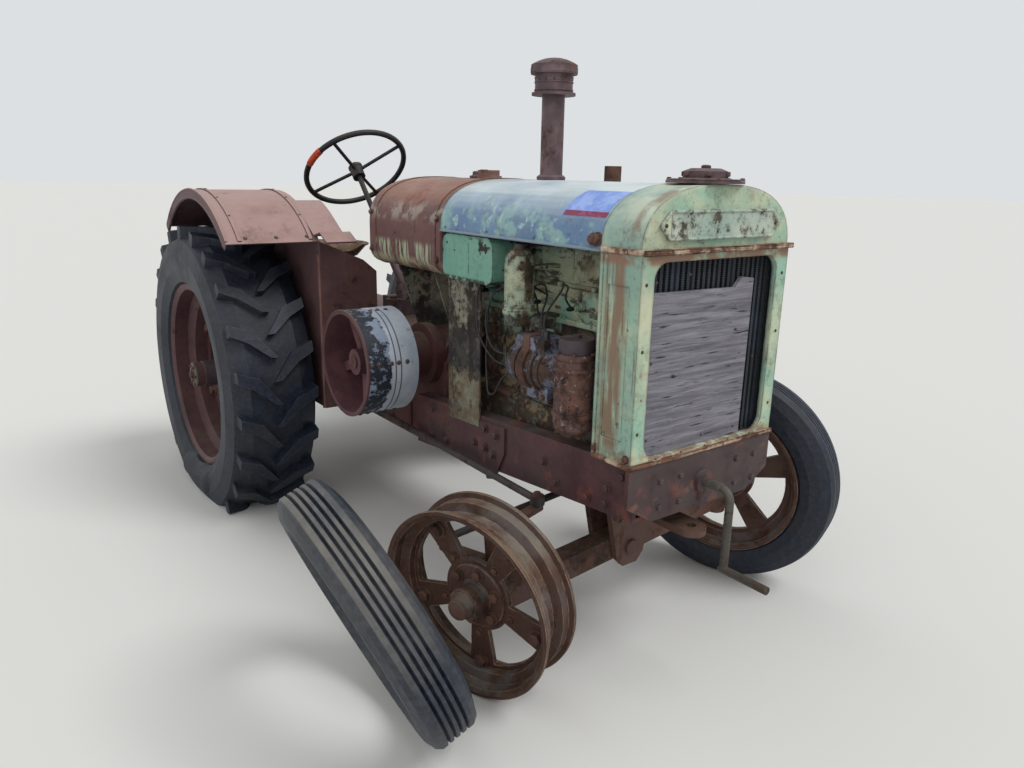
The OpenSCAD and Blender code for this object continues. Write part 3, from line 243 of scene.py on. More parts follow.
def makeEdgeGroup():
    # 1 along the sharp edges of a shape, broken up by noise
    tree, given, result = newGroup("sharpEdgeMask", [("Vector", "Vector", None), ("Width", "Float", 0.006)],
                                   [("Mask", "Float")])
    rounded = addNode(tree, "ShaderNodeBevel", {"Radius": given["Width"]}, samples=4)
    plain = addNode(tree, "ShaderNodeNewGeometry")
    likeness = addNode(tree, "ShaderNodeVectorMath", {0: rounded.outputs[0], 1: plain.outputs["Normal"]},
                       operation="DOT_PRODUCT")
    turned = minus(tree, 1.0, likeness.outputs["Value"])
    broken = noiseMask(tree, given["Vector"], 26.0, 0.35, 0.62)
    edge = ramp(tree, turned, 0.01, 0.16)
    tree.links.new(times(tree, edge, broken), result["Mask"])
    return tree


def makePaintGroup():
    # old paint over rust: patches, worn edges, streaks that run down and pin-head spots
    tree, given, result = newGroup(
        "agedPaint",
        [("Vector", "Vector", None), ("Paint", "Color", None), ("Faded", "Color", None),
         ("Rust", "Color", None), ("Dark rust", "Color", None), ("Scale", "Float", 4.0),
         ("Bare", "Float", 0.4), ("Edge", "Float", 0.5), ("Streaks", "Float", 0.3), ("Grime", "Float", 0.3),
         ("Speckle", "Float", 0.2)],
        [("Color", "Color"), ("Roughness", "Float"), ("Height", "Float")])
    vector = given["Vector"]
    broad = addNode(tree, "ShaderNodeTexNoise",
                    {"Vector": vector, "Scale": given["Scale"], "Detail": 8.0, "Roughness": 0.66})
    fine = addNode(tree, "ShaderNodeTexNoise",
                   {"Vector": vector, "Scale": 42.0, "Detail": 5.0, "Roughness": 0.7})
    edge = addGroup(tree, edgeGroup, {"Vector": vector})
    runs = noiseMask(tree, stretched(tree, vector, (16.0, 16.0, 1.3)), 1.0, 0.5, 0.72)
    patch = plus(tree, times(tree, broad.outputs["Fac"], 0.72),
                 times(tree, fine.outputs["Fac"], 0.28))
    worn = times(tree, edge.outputs[0], given["Edge"])
    patch = plus(tree, patch, times(tree, worn, 0.4))
    patch = plus(tree, patch, times(tree, times(tree, runs, given["Streaks"]), 0.3))
    limit = minus(tree, 0.72, times(tree, given["Bare"], 0.42))
    over = minus(tree, patch, limit)
    bare = ramp(tree, over, -0.02, 0.035)
    halo = ramp(tree, over, -0.10, 0.02)
    paint = mixTones(tree, noiseMask(tree, vector, 7.0, 0.35, 0.66), given["Paint"], given["Faded"])
    stained = mixTones(tree, times(tree, halo, 0.45), paint, given["Rust"])
    rust = mixTones(tree, noiseMask(tree, vector, 19.0, 0.34, 0.66), given["Rust"], given["Dark rust"])
    both = mixTones(tree, bare, stained, rust)
    speck = noiseMask(tree, vector, 90.0, 0.58, 0.74, detail=3.0)
    grime = times(tree, plus(tree, speck, noiseMask(tree, vector, 3.1, 0.5, 0.8)), given["Grime"])
    dirty = mixTones(tree, calc(tree, "MINIMUM", grime, 0.85), both, tone("#1d1712"))
    flakes = noiseMask(tree, vector, 44.0, 0.52, 0.6, detail=4.0, rough=0.75)
    clusters = noiseMask(tree, vector, 8.0, 0.36, 0.6, detail=3.0)
    flecks = calc(tree, "MULTIPLY", times(tree, flakes, clusters), given["Speckle"], clamp=True)
    dirty = mixTones(tree, flecks, dirty, tone("#1a1817"))
    tree.links.new(dirty, result["Color"])
    gloss = plus(tree, 0.55, times(tree, bare, 0.33))
    tree.links.new(gloss, result["Roughness"])
    height = minus(tree, times(tree, fine.outputs["Fac"], 0.6),
                  times(tree, bare, 0.5))
    tree.links.new(height, result["Height"])
    return tree


def makeDustGroup():
    # dust and dry grass powder, most on what faces up
    tree, given, result = newGroup(
        "fieldDust",
        [("Vector", "Vector", None), ("Color", "Color", None), ("Amount", "Float", 0.3)],
        [("Color", "Color")])
    geometry = addNode(tree, "ShaderNodeNewGeometry")
    facing = addNode(tree, "ShaderNodeSeparateXYZ", {0: geometry.outputs["Normal"]})
    top = ramp(tree, facing.outputs["Z"], 0.1, 1.0)
    cloud = noiseMask(tree, given["Vector"], 9.0, 0.3, 0.7)
    amount = times(tree, times(tree, plus(tree, top, 0.35), cloud), given["Amount"])
    dusty = mixTones(tree, calc(tree, "MINIMUM", amount, 0.9), given["Color"], tone("#8d8069"))
    tree.links.new(dusty, result["Color"])
    return tree


edgeGroup = makeEdgeGroup()
paintGroup = makePaintGroup()
dustGroup = makeDustGroup()


def newMaterial(name):
    made = bpy.data.materials.new(name)
    made.use_nodes = True
    tree = made.node_tree
    place = addNode(tree, "ShaderNodeTexCoord").outputs["Object"]
    return made, tree, tree.nodes["Principled BSDF"], place


def addBump(tree, surface, height, strength, distance, rounded=None):
    bump = addNode(tree, "ShaderNodeBump", {"Height": height, "Strength": strength, "Distance": distance})
    if rounded is not None:
        tree.links.new(rounded, bump.inputs["Normal"])
    tree.links.new(bump.outputs[0], surface.inputs["Normal"])


def coordinate(tree, place, key, rounded=None):
    # a place along one axis, or how far a face looks up, aside or ahead
    if key in "XYZ":
        return addNode(tree, "ShaderNodeSeparateXYZ", {0: place}).outputs[key]
    if rounded is None:
        rounded = addNode(tree, "ShaderNodeNewGeometry").outputs["Normal"]
    normal = addNode(tree, "ShaderNodeSeparateXYZ", {0: rounded})
    if key == "up":
        return normal.outputs["Z"]
    if key == "ahead":
        return times(tree, normal.outputs["Y"], -1.0)
    return calc(tree, "ABSOLUTE", normal.outputs["X"])


def zoneMask(tree, place, zone, rounded=None):
    # 1 where each stated coordinate lies between its limits, broken up by noise
    mask = noiseMask(tree, stretched(tree, place, zone["stretch"]), zone["scale"], zone["from"], zone["to"])
    for key, low, high, soft in zone["where"]:
        if key == "Y":
            low, high = rearAxleY - high, rearAxleY - low
        if key == "X":
            low, high = centreX + low, centreX + high
        value = coordinate(tree, place, key, rounded)
        mask = times(tree, mask, ramp(tree, value, low - soft, low + soft))
        mask = times(tree, mask, minus(tree, 1.0, ramp(tree, value, high - soft, high + soft)))
    return times(tree, mask, zone["amount"])


def addZones(tree, place, spec, color, rounded=None):
    for part in spec.get("zones", ()):
        color = mixTones(tree, zoneMask(tree, place, part, rounded), color, tone(part["tone"]))
    return color


def edgeWearAndHighlight(tree, place, width, amount):
    # a mask along the sharp edges
    edge = addGroup(tree, edgeGroup, {"Vector": place, "Width": width})
    return times(tree, edge.outputs[0], amount)


wornWidth = 0.004
paintSurface = {"shine": 0.35, "bump": 0.5, "relief": 0.0015}


def agedMaterial(name, spec):
    made, tree, surface, place = newMaterial(name)
    paint = addGroup(tree, paintGroup, {"Vector": place, **spec["sockets"]})
    color = paint.outputs["Color"]
    rounded = None
    if "soften" in spec:
        rounded = addNode(tree, "ShaderNodeBevel", {"Radius": spec["soften"]}, samples=6).outputs[0]
    color = addZones(tree, place, spec, color, rounded)
    # edge tone along sharp edges: rubbed wear on most finishes, on the front rims partly a painted
    # highlight
    if "worn" in spec:
        color = mixTones(tree, edgeWearAndHighlight(tree, place, wornWidth, spec["wear"]), color, tone(spec["worn"]))
    dust = addGroup(tree, dustGroup, {"Vector": place, "Color": color, "Amount": spec["dust"]})
    tree.links.new(dust.outputs["Color"], surface.inputs["Base Color"])
    tree.links.new(paint.outputs["Roughness"], surface.inputs["Roughness"])
    surface.inputs["Metallic"].default_value = spec.get("metal", 0.0)
    surface.inputs["Specular IOR Level"].default_value = paintSurface["shine"]
    addBump(tree, surface, paint.outputs["Height"], paintSurface["bump"], paintSurface["relief"], rounded)
    return made


def recipe(tones, scale, bare, edge, streaks, grime, dust, speckle=0.1, **more):
    # tones are those of the paint, the faded paint, the rust and the dark rust
    sockets = dict(zip(("Paint", "Faded", "Rust", "Dark rust"), map(tone, tones.split())))
    sockets.update({"Scale": scale, "Bare": bare, "Edge": edge, "Streaks": streaks, "Grime": grime,
                    "Speckle": speckle})
    return {"sockets": sockets, "dust": dust, **more}


def zone(tone, scale, low, high, amount, *where, stretch=(1, 1, 1)):
    # a stain: its noise and amount, then its limits as key, low, high and softness
    return {"tone": tone, "scale": scale, "from": low, "to": high, "amount": amount, "where": where,
            "stretch": stretch}


agedFinishes = {
    "driveLineRed": recipe("#47292b #553236 #5a3a33 #2e1f1e", 5, 0.35, 0.5, 0.3, 0.3, 0.25, 0.15, zones=[
        zone("#6d5a55", 6, 0.35, 0.6, 0.5, ("up", 0.4, 2, 0.3))]),
    "railRed": recipe("#43262b #523238 #5c3a33 #2b1c1e", 3.5, 0.3, 0.6, 0.15, 0.3, 0.2, 0.2, worn="#6f6660",
        wear=0.35, zones=[
        zone("#4a4a52", 5, 0.35, 0.6, 0.8, ("up", 0.4, 2, 0.3)),
        zone("#3c3234", 7, 0.25, 0.55, 0.85, ("ahead", 0.5, 2, 0.2)),
        zone("#7a5443", 13, 0.6, 0.68, 0.6, ("ahead", 0.5, 2, 0.2), ("Z", 0.5, 0.7, 0.03)),
        zone("#2d2226", 7, 0.42, 0.6, 0.7, ("Z", 0.3, 0.56, 0.04)),
        zone("#744038", 11, 0.56, 0.66, 0.6, ("Z", 0.3, 0.9, 0.01))]),
    "rearWheelRust": recipe("#412a2e #50333a #5a3a34 #2b1e22", 6, 0.35, 0.4, 0.1, 0.2, 0.15, 0.1,
        worn="#8a6a5c", wear=0.4),
    # the pale edge tone is partly rubbed metal and partly a painted highlight along the flange edges
    "frontWheelRust": recipe("#46322c #56443d #54352a #271b1a", 7, 0.5, 0.5, 0.1, 0.35, 0.3, 0.3,
        worn="#b79c84", wear=0.9, zones=[
        zone("#41251f", 9, 0.3, 0.5, 0.8, ("side", 0.5, 2, 0.2)),
        # grey on upward faces is a painted sheen
        zone("#6a6a6c", 8, 0.45, 0.62, 0.6, ("up", 0.2, 2, 0.3))]),
    "blockGreen": recipe("#6b8a7c #8a9a86 #5f4d42 #2b2524", 7.5, 0.62, 0.7, 0.4, 0.65, 0.2, 0.6, zones=[
        zone("#4a3a36", 6, 0.3, 0.6, 0.75, ("Z", 0.4, 0.76, 0.06)),
        zone("#9a8a6c", 15, 0.54, 0.62, 0.75, ("Z", 0.62, 1.02, 0.02)),
        zone("#7b4a3c", 11, 0.6, 0.68, 0.6, ("Z", 0.62, 0.9, 0.05))]),
    "headCream": recipe("#b4c0a4 #97b8a5 #6c5344 #2e2724", 6, 0.45, 0.7, 0.4, 0.45, 0.15, 0.75, zones=[
        zone("#c2c3a2", 5, 0.4, 0.62, 0.7, ("Z", 1, 1.4, 0.02)),
        zone("#86b7a4", 8, 0.48, 0.56, 0.75, ("Z", 0.98, 1.13, 0.01)),
        zone("#2f2a28", 13, 0.56, 0.62, 0.85, ("Z", 1, 1.4, 0.02), stretch=(1, 0.5, 1.5)),
        zone("#5d4a3a", 30, 0.6, 0.66, 0.7, ("Z", 1, 1.25, 0.02))]),
    "speckledMint": recipe("#97a894 #a9ae93 #5c4b3d #27241f", 9, 0.4, 0.6, 0.3, 0.5, 0.15, 1),
    "darkMint": recipe("#54625c #6c7a70 #4c3d34 #1f1d1b", 9, 0.5, 0.6, 0.3, 0.7, 0.2, 0.9),
    "smoothMint": recipe("#659788 #72a191 #5a4a3d #1f1d1b", 5, 0.12, 0.9, 0.1, 0.15, 0.15, 0.2, zones=[
        zone("#141514", 17, 0.6, 0.63, 1, ("Z", 1.19, 1.25, 0.015)),
        zone("#211c1a", 30, 0.4, 0.5, 0.9, ("Z", 1, 1.118, 0.004))]),
    "oldIron": recipe("#4a302c #5a3e38 #5e4034 #2a1d1b", 6, 0.5, 0.5, 0.3, 0.3, 0.2, 0.3, worn="#776055",
        wear=0.3),
    "stackRust": recipe("#4d3d43 #5f4d52 #5a4240 #31262a", 8, 0.4, 0.5, 0.3, 0.15, 0.1, 0.3, zones=[
        zone("#7b6468", 14, 0.45, 0.7, 0.6, ("side", 0.1, 2, 0.5))]),
    "castGrey": recipe("#56606f #8088a0 #54423a #262323", 12, 0.5, 0.5, 0.3, 0.6, 0.1, 0.8, metal=0.2),
    "darkPlum": recipe("#3a2f36 #463a41 #50383a #241d21", 9, 0.3, 0.5, 0.2, 0.2, 0.2, 0.2),
    "governorRust": recipe("#503a3b #685050 #6c4c42 #241817", 14, 0.6, 0.4, 0.3, 0.5, 0.1, 0.9, zones=[
        zone("#a08a84", 60, 0.6, 0.66, 0.7, ("Z", 0.5, 1.2, 0.01))]),
    "shellGreen": recipe("#8fb5a0 #b9c2a6 #7e6350 #45342a", 5, 0.22, 0.8, 0.35, 0.2, 0.1, 0.35, soften=0.02,
        worn="#5b4336", wear=0.7, zones=[
        zone("#86a79f", 4, 0.3, 0.6, 0.6, ("side", 0.6, 2, 0.2)),
        zone("#7d6350", 7, 0.3, 0.54, 0.92, ("side", 0.5, 2, 0.2), ("Y", 2.135, 2.2, 0.012),
            ("Z", 0.74, 1.25, 0.02), stretch=(1, 6, 0.8)),
        zone("#94704a", 14, 0.56, 0.66, 0.6, ("side", 0.5, 2, 0.2), ("Y", 2.12, 2.22, 0.02),
            ("Z", 0.74, 1.25, 0.02), stretch=(1, 3, 0.5)),
        zone("#a08a5c", 20, 0.5, 0.6, 0.7, ("ahead", 0.6, 2, 0.1), ("Z", 0.7, 0.79, 0.03)),
        zone("#4a3a2e", 38, 0.66, 0.7, 0.8, ("Z", 0.7, 1.43, 0.02)),
        zone("#5c4a3c", 6, 0.6, 0.68, 0.7, ("side", 0.5, 2, 0.2), ("Y", 2.1, 2.26, 0.01),
            stretch=(1, 16, 0.8)),
        # the pale strip on the front of the bezel's right-hand border is painted sunlight
        zone("#c6c6a9", 9, 0.36, 0.6, 0.85, ("ahead", 0.6, 2, 0.1), ("X", -0.31, -0.22, 0.01),
            ("Z", 0.7, 1.2, 0.05), stretch=(1, 1, 0.6)),
        # paler upward faces: partly faded paint, partly painted sunlight on the top
        zone("#c6cdbb", 5, 0.3, 0.6, 0.7, ("up", 0.5, 2, 0.3)),
        zone("#5f8f92", 6, 0.35, 0.6, 0.75, ("X", -0.31, -0.1, 0.06), ("Z", 1.28, 1.42, 0.02),
            ("Y", 2.1, 2.22, 0.03)),
        zone("#7a5f4e", 9, 0.4, 0.55, 0.75, ("X", -0.3, -0.12, 0.02), ("Z", 1.29, 1.44, 0.02),
            ("Y", 2.205, 2.246, 0.01)),
        zone("#85624f", 9, 0.35, 0.5, 0.9, ("Z", 1.235, 1.275, 0.008)),
        zone("#7d6552", 16, 0.42, 0.56, 0.85, ("Z", 0.6, 0.735, 0.012))]),
    "plateGrey": recipe("#8fa59b #b4beb0 #6f6a5c #3c3a33", 22, 0.35, 0.6, 0.1, 0.25, 0.1, 0.5,
        worn="#d3d6c6", wear=0.8),
    "ledgeRust": recipe("#b59d86 #c9b9a0 #7c5747 #4b332a", 12, 0.5, 0.6, 0.2, 0.2, 0.1, 0.4),
    "hoodBlue": recipe("#5f7c9f #6d8aa9 #6b7077 #3f4347", 5, 0.06, 0.3, 0.1, 0.12, 0.12, 0.15, soften=0.02,
        zones=[
        zone("#8cb0ab", 9, 0.52, 0.6, 0.8, ("Z", 1.2, 1.4, 0.02), stretch=(1, 0.8, 1)),
        zone("#a9c6bd", 24, 0.56, 0.64, 0.75, ("Z", 1.2, 1.39, 0.02)),
        zone("#6f7f86", 38, 0.55, 0.66, 0.55, ("Z", 1.2, 1.4, 0.02), stretch=(1, 0.6, 1)),
        zone("#3f5672", 16, 0.57, 0.7, 0.6, ("Z", 1.2, 1.4, 0.02), stretch=(1, 1, 1.4)),
        zone("#85aaa6", 6, 0.2, 0.5, 0.8, ("Y", 1.3, 1.36, 0.025), ("Z", 1.2, 1.42, 0.01)),
        # the paler top is partly sun-faded paint and partly painted sunlight; the near-white crown above it
        # is a painted highlight
        zone("#9fb2c1", 4, 0.2, 0.6, 0.85, ("up", 0.55, 2, 0.2)),
        zone("#d5dfdf", 3, 0.25, 0.6, 0.85, ("up", 0.86, 2, 0.08), stretch=(1, 0.4, 1)),
        zone("#93a5b4", 9, 0.2, 0.4, 0.8, ("Z", 1.2, 1.267, 0.003))]),
    "tankRust": recipe("#5f4142 #6d4b48 #6a4a44 #432e2f", 5, 0.35, 0.4, 0.25, 0.15, 0.15, 0.15, soften=0.02,
        worn="#3c2c2c", wear=0.6, zones=[
        zone("#8a5f50", 4, 0.35, 0.55, 0.8, ("up", 0.5, 2, 0.25), stretch=(1, 1.6, 1)),
        zone("#9c7d70", 3, 0.4, 0.6, 0.6, ("up", 0.8, 2, 0.1)),
        zone("#a2978f", 15, 0.48, 0.6, 0.7, ("Z", 1.285, 1.345, 0.018), stretch=(1, 1, 1.2)),
        zone("#9dab90", 7, 0.47, 0.55, 0.9, ("Z", 1.125, 1.205, 0.012), ("Y", 0.82, 1.25, 0.02),
            stretch=(1, 7, 0.7)),
        zone("#a59c80", 15, 0.4, 0.55, 0.7, ("Z", 1.1, 1.15, 0.012))]),
    "sheetSpeckle": recipe("#77776a #8a8774 #3b332d #191614", 10, 0.5, 0.6, 0.4, 0.6, 0.1, 1, zones=[
        zone("#242024", 12, 0.3, 0.5, 0.85, ("Z", 0.79, 0.93, 0.035)),
        zone("#5c4d38", 14, 0.35, 0.6, 0.75, ("Z", 0.6, 0.79, 0.03))]),
    "steerSteel": recipe("#2c282b #38343a #46342e #211b1b", 8, 0.4, 0.5, 0.3, 0.2, 0.15, 0.2,
        worn="#6a625e", wear=0.4),
    "wornGrip": recipe("#17161a #242226 #3b3530 #151314", 16, 0.2, 0.3, 0.1, 0.1, 0.15, 0.1),
    "crankSteel": recipe("#403d39 #55524b #4a3c34 #282320", 12, 0.4, 0.4, 0.2, 0.2, 0.1, 0.3,
        worn="#9a948a", wear=0.5),
    "fenderRust": recipe("#86605a #95736d #74504a #48332f", 4, 0.35, 0.6, 0.2, 0.12, 0.15, 0.1,
        worn="#a0857c", wear=0.35, zones=[
        # the paler top is a painted sheen; the darker side walls and downward faces are painted shade
        zone("#a98d8a", 3, 0.2, 0.6, 0.75, ("up", 0.5, 2, 0.3)),
        zone("#49333a", 3, 0, 0.3, 0.85, ("side", 0.6, 2, 0.2)),
        zone("#4c3439", 5, 0, 0.2, 0.95, ("up", -2, -0.05, 0.1))]),
    "platformRust": recipe("#4a3236 #5b3f42 #6a4640 #2d2023", 4, 0.35, 0.5, 0.2, 0.2, 0.25, 0.1),
    "seatRust": recipe("#5c3f37 #6d4d43 #5e4234 #372722", 6, 0.45, 0.5, 0.2, 0.2, 0.3, 0.1),
}
looks = {name: agedMaterial(name, spec) for name, spec in agedFinishes.items()}

pulleyFace = {"step": 0.452, "pale": "#949eac", "soft": "#b3bac4", "black": "#121926", "blue": "#7f8ba0",
              "inside": "#4a2c33", "grooves": (0.409, 0.43), "shaft": (1.04, 0.775)}


def makePulleyPaint(spec):
    # peeling black on the outer half of the face, pale blue on the inner half, dark red inside the rim
    made, tree, surface, place = newMaterial("pulleyPaint")
    parts = addNode(tree, "ShaderNodeSeparateXYZ", {0: place})
    across = minus(tree, centreX, parts.outputs["X"])
    warp = times(tree, minus(tree, noiseMask(tree, place, 24.0, 0.3, 0.7), 0.5), 0.022)
    outer = ramp(tree, plus(tree, across, warp), spec["step"] - 0.002, spec["step"] + 0.002)
    peel = noiseMask(tree, stretched(tree, place, (0.8, 1.0, 1.0)), 13.0, 0.56, 0.6)
    fine = noiseMask(tree, place, 45.0, 0.54, 0.6)
    black = mixTones(tree, calc(tree, "MAXIMUM", peel, times(tree, fine, 0.6)), tone(spec["black"]),
                     tone(spec["blue"]))
    pale = mixTones(tree, noiseMask(tree, place, 9.0, 0.3, 0.7), tone(spec["pale"]), tone(spec["soft"]))
    pale = mixTones(tree, times(tree, noiseMask(tree, place, 70.0, 0.62, 0.7), 0.6), pale, tone("#3c4048"))
    color = mixTones(tree, outer, pale, black)
    for groove in spec["grooves"]:
        away = calc(tree, "ABSOLUTE", minus(tree, across, groove))
        line = minus(tree, 1.0, ramp(tree, away, 0.0012, 0.004))
        color = mixTones(tree, times(tree, line, 0.85), color, tone("#20242c"))
    # the rim's inside and its arms lie nearer the shaft than the face
    inward = addNode(tree, "ShaderNodeCombineXYZ", dict(zip("XYZ", at(0, *spec["shaft"]))))
    away = vectorCalc(tree, "SUBTRACT", place, inward.outputs[0])
    flat = vectorCalc(tree, "MULTIPLY", away.outputs[0], (0.0, 1.0, 1.0))
    radius = vectorCalc(tree, "LENGTH", flat.outputs[0]).outputs["Value"]
    face = ramp(tree, radius, 0.188, 0.1905)
    red = mixTones(tree, noiseMask(tree, place, 12.0, 0.35, 0.65), tone(spec["inside"]), tone("#5e3a3e"))
    tree.links.new(mixTones(tree, face, red, color), surface.inputs["Base Color"])
    surface.inputs["Roughness"].default_value = 0.62
    addBump(tree, surface, times(tree, minus(tree, 1.0, peel), outer), 0.6, 0.0015)
    return made


rubber = {"skin": "#0a1220", "worn": "#172233", "dust": "#47433f", "dusty": 0.32}


def ribMask(tree, place, ribs):
    # full on a tyre's rib tops: the distance from its axis, broken up by dust
    away = vectorCalc(tree, "SUBTRACT", place, tuple(ribs["centre"]))
    cross = vectorCalc(tree, "CROSS_PRODUCT", away.outputs[0], tuple(ribs["axis"]))
    radius = vectorCalc(tree, "LENGTH", cross.outputs[0]).outputs["Value"]
    top = ramp(tree, radius, ribs["radius"] - 0.003, ribs["radius"] - 0.0005)
    cloud = noiseMask(tree, place, 5.0, 0.35, 0.65)
    return times(tree, top, plus(tree, 0.25, times(tree, cloud, ribs["amount"])))


def tyreAxis(name):
    # a tyre's centre and axis: the line about which its mesh turns
    points = [v.co for v in nodes[name].data.vertices]
    centre = sum(points, Vector()) / len(points)
    spread = numpy.array([tuple(p - centre) for p in points])
    axis = Vector(numpy.linalg.eigh(spread.T @ spread)[1][:, 0])
    radius = max(((p - centre) - axis * (p - centre).dot(axis)).length for p in points)
    return {"centre": centre, "axis": axis, "radius": radius}


def makeTyreRubber(name, spec):
    made, tree, surface, place = newMaterial(name)
    dusty = noiseMask(tree, place, 4.0, 0.42, 0.72)
    fine = noiseMask(tree, place, 60.0, 0.4, 0.65)
    skin = mixTones(tree, fine, tone(spec["skin"]), tone(spec["worn"]))
    skin = mixTones(tree, times(tree, dusty, spec["dusty"]), skin, tone(spec["dust"]))
    # bluish grey along the rubber's sharp edges: partly rubbed wear, partly a painted highlight
    skin = mixTones(tree, edgeWearAndHighlight(tree, place, 2 * wornWidth, 0.5), skin, tone("#4d5663"))
    if "ribs" in spec:
        skin = mixTones(tree, ribMask(tree, place, spec["ribs"]), skin, tone(spec["ribs"]["tone"]))
    skin = addZones(tree, place, spec, skin)
    tree.links.new(skin, surface.inputs["Base Color"])
    tree.links.new(plus(tree, 0.5, times(tree, dusty, 0.3)), surface.inputs["Roughness"])
    surface.inputs["Specular IOR Level"].default_value = 0.45
    cracks = addNode(tree, "ShaderNodeTexVoronoi", {"Vector": place, "Scale": 70.0},
                     feature="DISTANCE_TO_EDGE")
    crack = ramp(tree, cracks.outputs["Distance"], 0.0, 0.08)
    addBump(tree, surface, plus(tree, times(tree, crack, 0.3), fine), 0.35, 0.0012)
    return made


def makeWeatheredBoard():
    made, tree, surface, place = newMaterial("weatheredBoard")
    lengthways = stretched(tree, place, (2.2, 1.0, 38.0))
    grain = addNode(tree, "ShaderNodeTexNoise", {"Vector": lengthways, "Scale": 2.0, "Detail": 8.0,
                                                 "Roughness": 0.7, "Distortion": 0.4})
    streak = ramp(tree, grain.outputs["Fac"], 0.3, 0.72)
    board = mixTones(tree, streak, tone("#55535c"), tone("#89878f"))
    split = noiseMask(tree, stretched(tree, place, (6.0, 1.0, 75.0)), 1.6, 0.6, 0.68)
    torn = noiseMask(tree, stretched(tree, place, (9.0, 1.0, 40.0)), 1.3, 0.66, 0.7)
    pale = noiseMask(tree, stretched(tree, place, (3.0, 1.0, 60.0)), 2.2, 0.6, 0.75)
    board = mixTones(tree, times(tree, pale, 0.6), board, tone("#a3a0a6"))
    split = calc(tree, "MAXIMUM", split, torn)
    board = mixTones(tree, split, board, tone("#1b1819"))
    tree.links.new(board, surface.inputs["Base Color"])
    surface.inputs["Roughness"].default_value = 0.85
    addBump(tree, surface, minus(tree, streak, times(tree, split, 1.5)), 0.6, 0.003)
    return made


def makeCoreMesh():
    made, tree, surface, place = newMaterial("coreMesh")
    parts = addNode(tree, "ShaderNodeSeparateXYZ", {0: place})
    cell = 0.0062
    across = calc(tree, "PINGPONG", parts.outputs["X"], cell / 2)
    down = calc(tree, "PINGPONG", parts.outputs["Z"], cell / 2)
    wire = calc(tree, "MINIMUM", ramp(tree, across, 0.0, cell / 5), ramp(tree, down, 0.0, cell / 5))
    # dark grey wires; the near-black between them is painted shade inside the core's cells
    tint = mixTones(tree, wire, tone("#3a4048"), tone("#0b1018"))
    tint = mixTones(tree, times(tree, noiseMask(tree, place, 7.0, 0.5, 0.75), 0.5), tint, tone("#39465a"))
    tree.links.new(tint, surface.inputs["Base Color"])
    surface.inputs["Roughness"].default_value = 0.7
    addBump(tree, surface, minus(tree, 1.0, wire), 0.8, 0.002)
    return made


looseTyre = {
    **rubber, "skin": "#141b28", "worn": "#2a323e", "dust": "#66625d", "dusty": 0.4,
    "ribs": {**tyreAxis("loose_tyre"), "tone": "#77736b", "amount": 0.6},
    "zones": [zone("#5d4a44", 4, 0.66, 0.74, 0.8, ("X", -1.2, -0.6, 0.01), ("Z", 0.05, 0.7, 0.02))],
}
thinLooks = {
    "stickerPaper": {"noise": (30, 0.45, 0.6), "tones": "#7191d6 #8fa9e2", "rough": 0.45,
                     "bump": (0.2, 0.0008), "flecks": "#c9d3ea"},
    "stickerBand": {"noise": (45, 0.5, 0.62), "tones": "#7a1d45 #93405f", "rough": 0.5,
                    "bump": (0.2, 0.0008)},
    "leadRubber": {"noise": (80, 0.45, 0.65), "tones": "#17171a #2f2d2e", "rough": 0.6,
                   "bump": (0.4, 0.0006)},
    "ribbonCloth": {"noise": (90, 0.4, 0.65), "tones": "#c8502e #a63c22", "rough": 0.8,
                    "bump": (0.3, 0.0006)},
}


def makeThinLook(name, spec):
    # two tones of paper, rubber or cloth, with small flecks where the look has them
    made, tree, surface, place = newMaterial(name)
    rub = noiseMask(tree, place, *spec["noise"])
    color = mixTones(tree, rub, *map(tone, spec["tones"].split()))
    if "flecks" in spec:
        flecks = noiseMask(tree, place, 90.0, 0.62, 0.68)
        color = mixTones(tree, times(tree, flecks, 0.5), color, tone(spec["flecks"]))
    tree.links.new(color, surface.inputs["Base Color"])
    surface.inputs["Roughness"].default_value = spec["rough"]
    addBump(tree, surface, rub, *spec["bump"])
    return made


looks.update({name: makeThinLook(name, spec) for name, spec in thinLooks.items()})
looks.update({
    "tyreRubber": makeTyreRubber("tyreRubber", rubber),
    "looseRubber": makeTyreRubber("looseRubber", looseTyre),
    "pulleyPaint": makePulleyPaint(pulleyFace),
    "weatheredBoard": makeWeatheredBoard(),
    "coreMesh": makeCoreMesh(),
})
print("materials ready")

# The construction's own pieces

nodesInFinish = {
    "driveLineRed": "gearbox_case pitman_arm",
    "railRed": "right_frame_rail left_frame_rail front_bolster drawbar",
    "oldIron": "axle_bracket front_axle right_knuckle left_knuckle manifold",
    "steerSteel": "tie_rod drag_link fan controls",
    "frontWheelRust": "right_front_rim left_front_rim",
    "rearWheelRust": "right_rear_rim left_rear_rim",
    "blockGreen": "engine_block",
    "headCream": "cylinder_head",
    "stackRust": "air_stack radiator_cap steering_column",
    "speckledMint": "filter_canister",
    "castGrey": "magneto",
    "governorRust": "governor",
    "shellGreen": "radiator_shell",
    "hoodBlue": "hood",
    "tankRust": "fuel_tank",
    "smoothMint": "starting_tank",
    "sheetSpeckle": "tank_support",
    "wornGrip": "steering_wheel",
    "crankSteel": "crank",
    "fenderRust": "right_fender left_fender",
    "platformRust": "platform",
    "seatRust": "seat",
    "tyreRubber": "left_front_tyre right_rear_tyre left_rear_tyre",
    "looseRubber": "loose_tyre",
    "weatheredBoard": "grille_board",
    "coreMesh": "radiator_core",
    "pulleyPaint": "belt_pulley",
}


def finishNodes():
    nodeFinishes = {name: finish for finish, names in nodesInFinish.items() for name in names.split()}
    for name, piece in nodes.items():
        piece.data.materials.clear()
        piece.data.materials.append(looks[nodeFinishes[name]])


finishNodes()
print("construction finished in its materials")

# Modelling helpers


def clearSelection():
    if bpy.context.object and bpy.context.object.mode != "OBJECT":
        bpy.ops.object.mode_set(mode="OBJECT")
    bpy.ops.object.select_all(action="DESELECT")


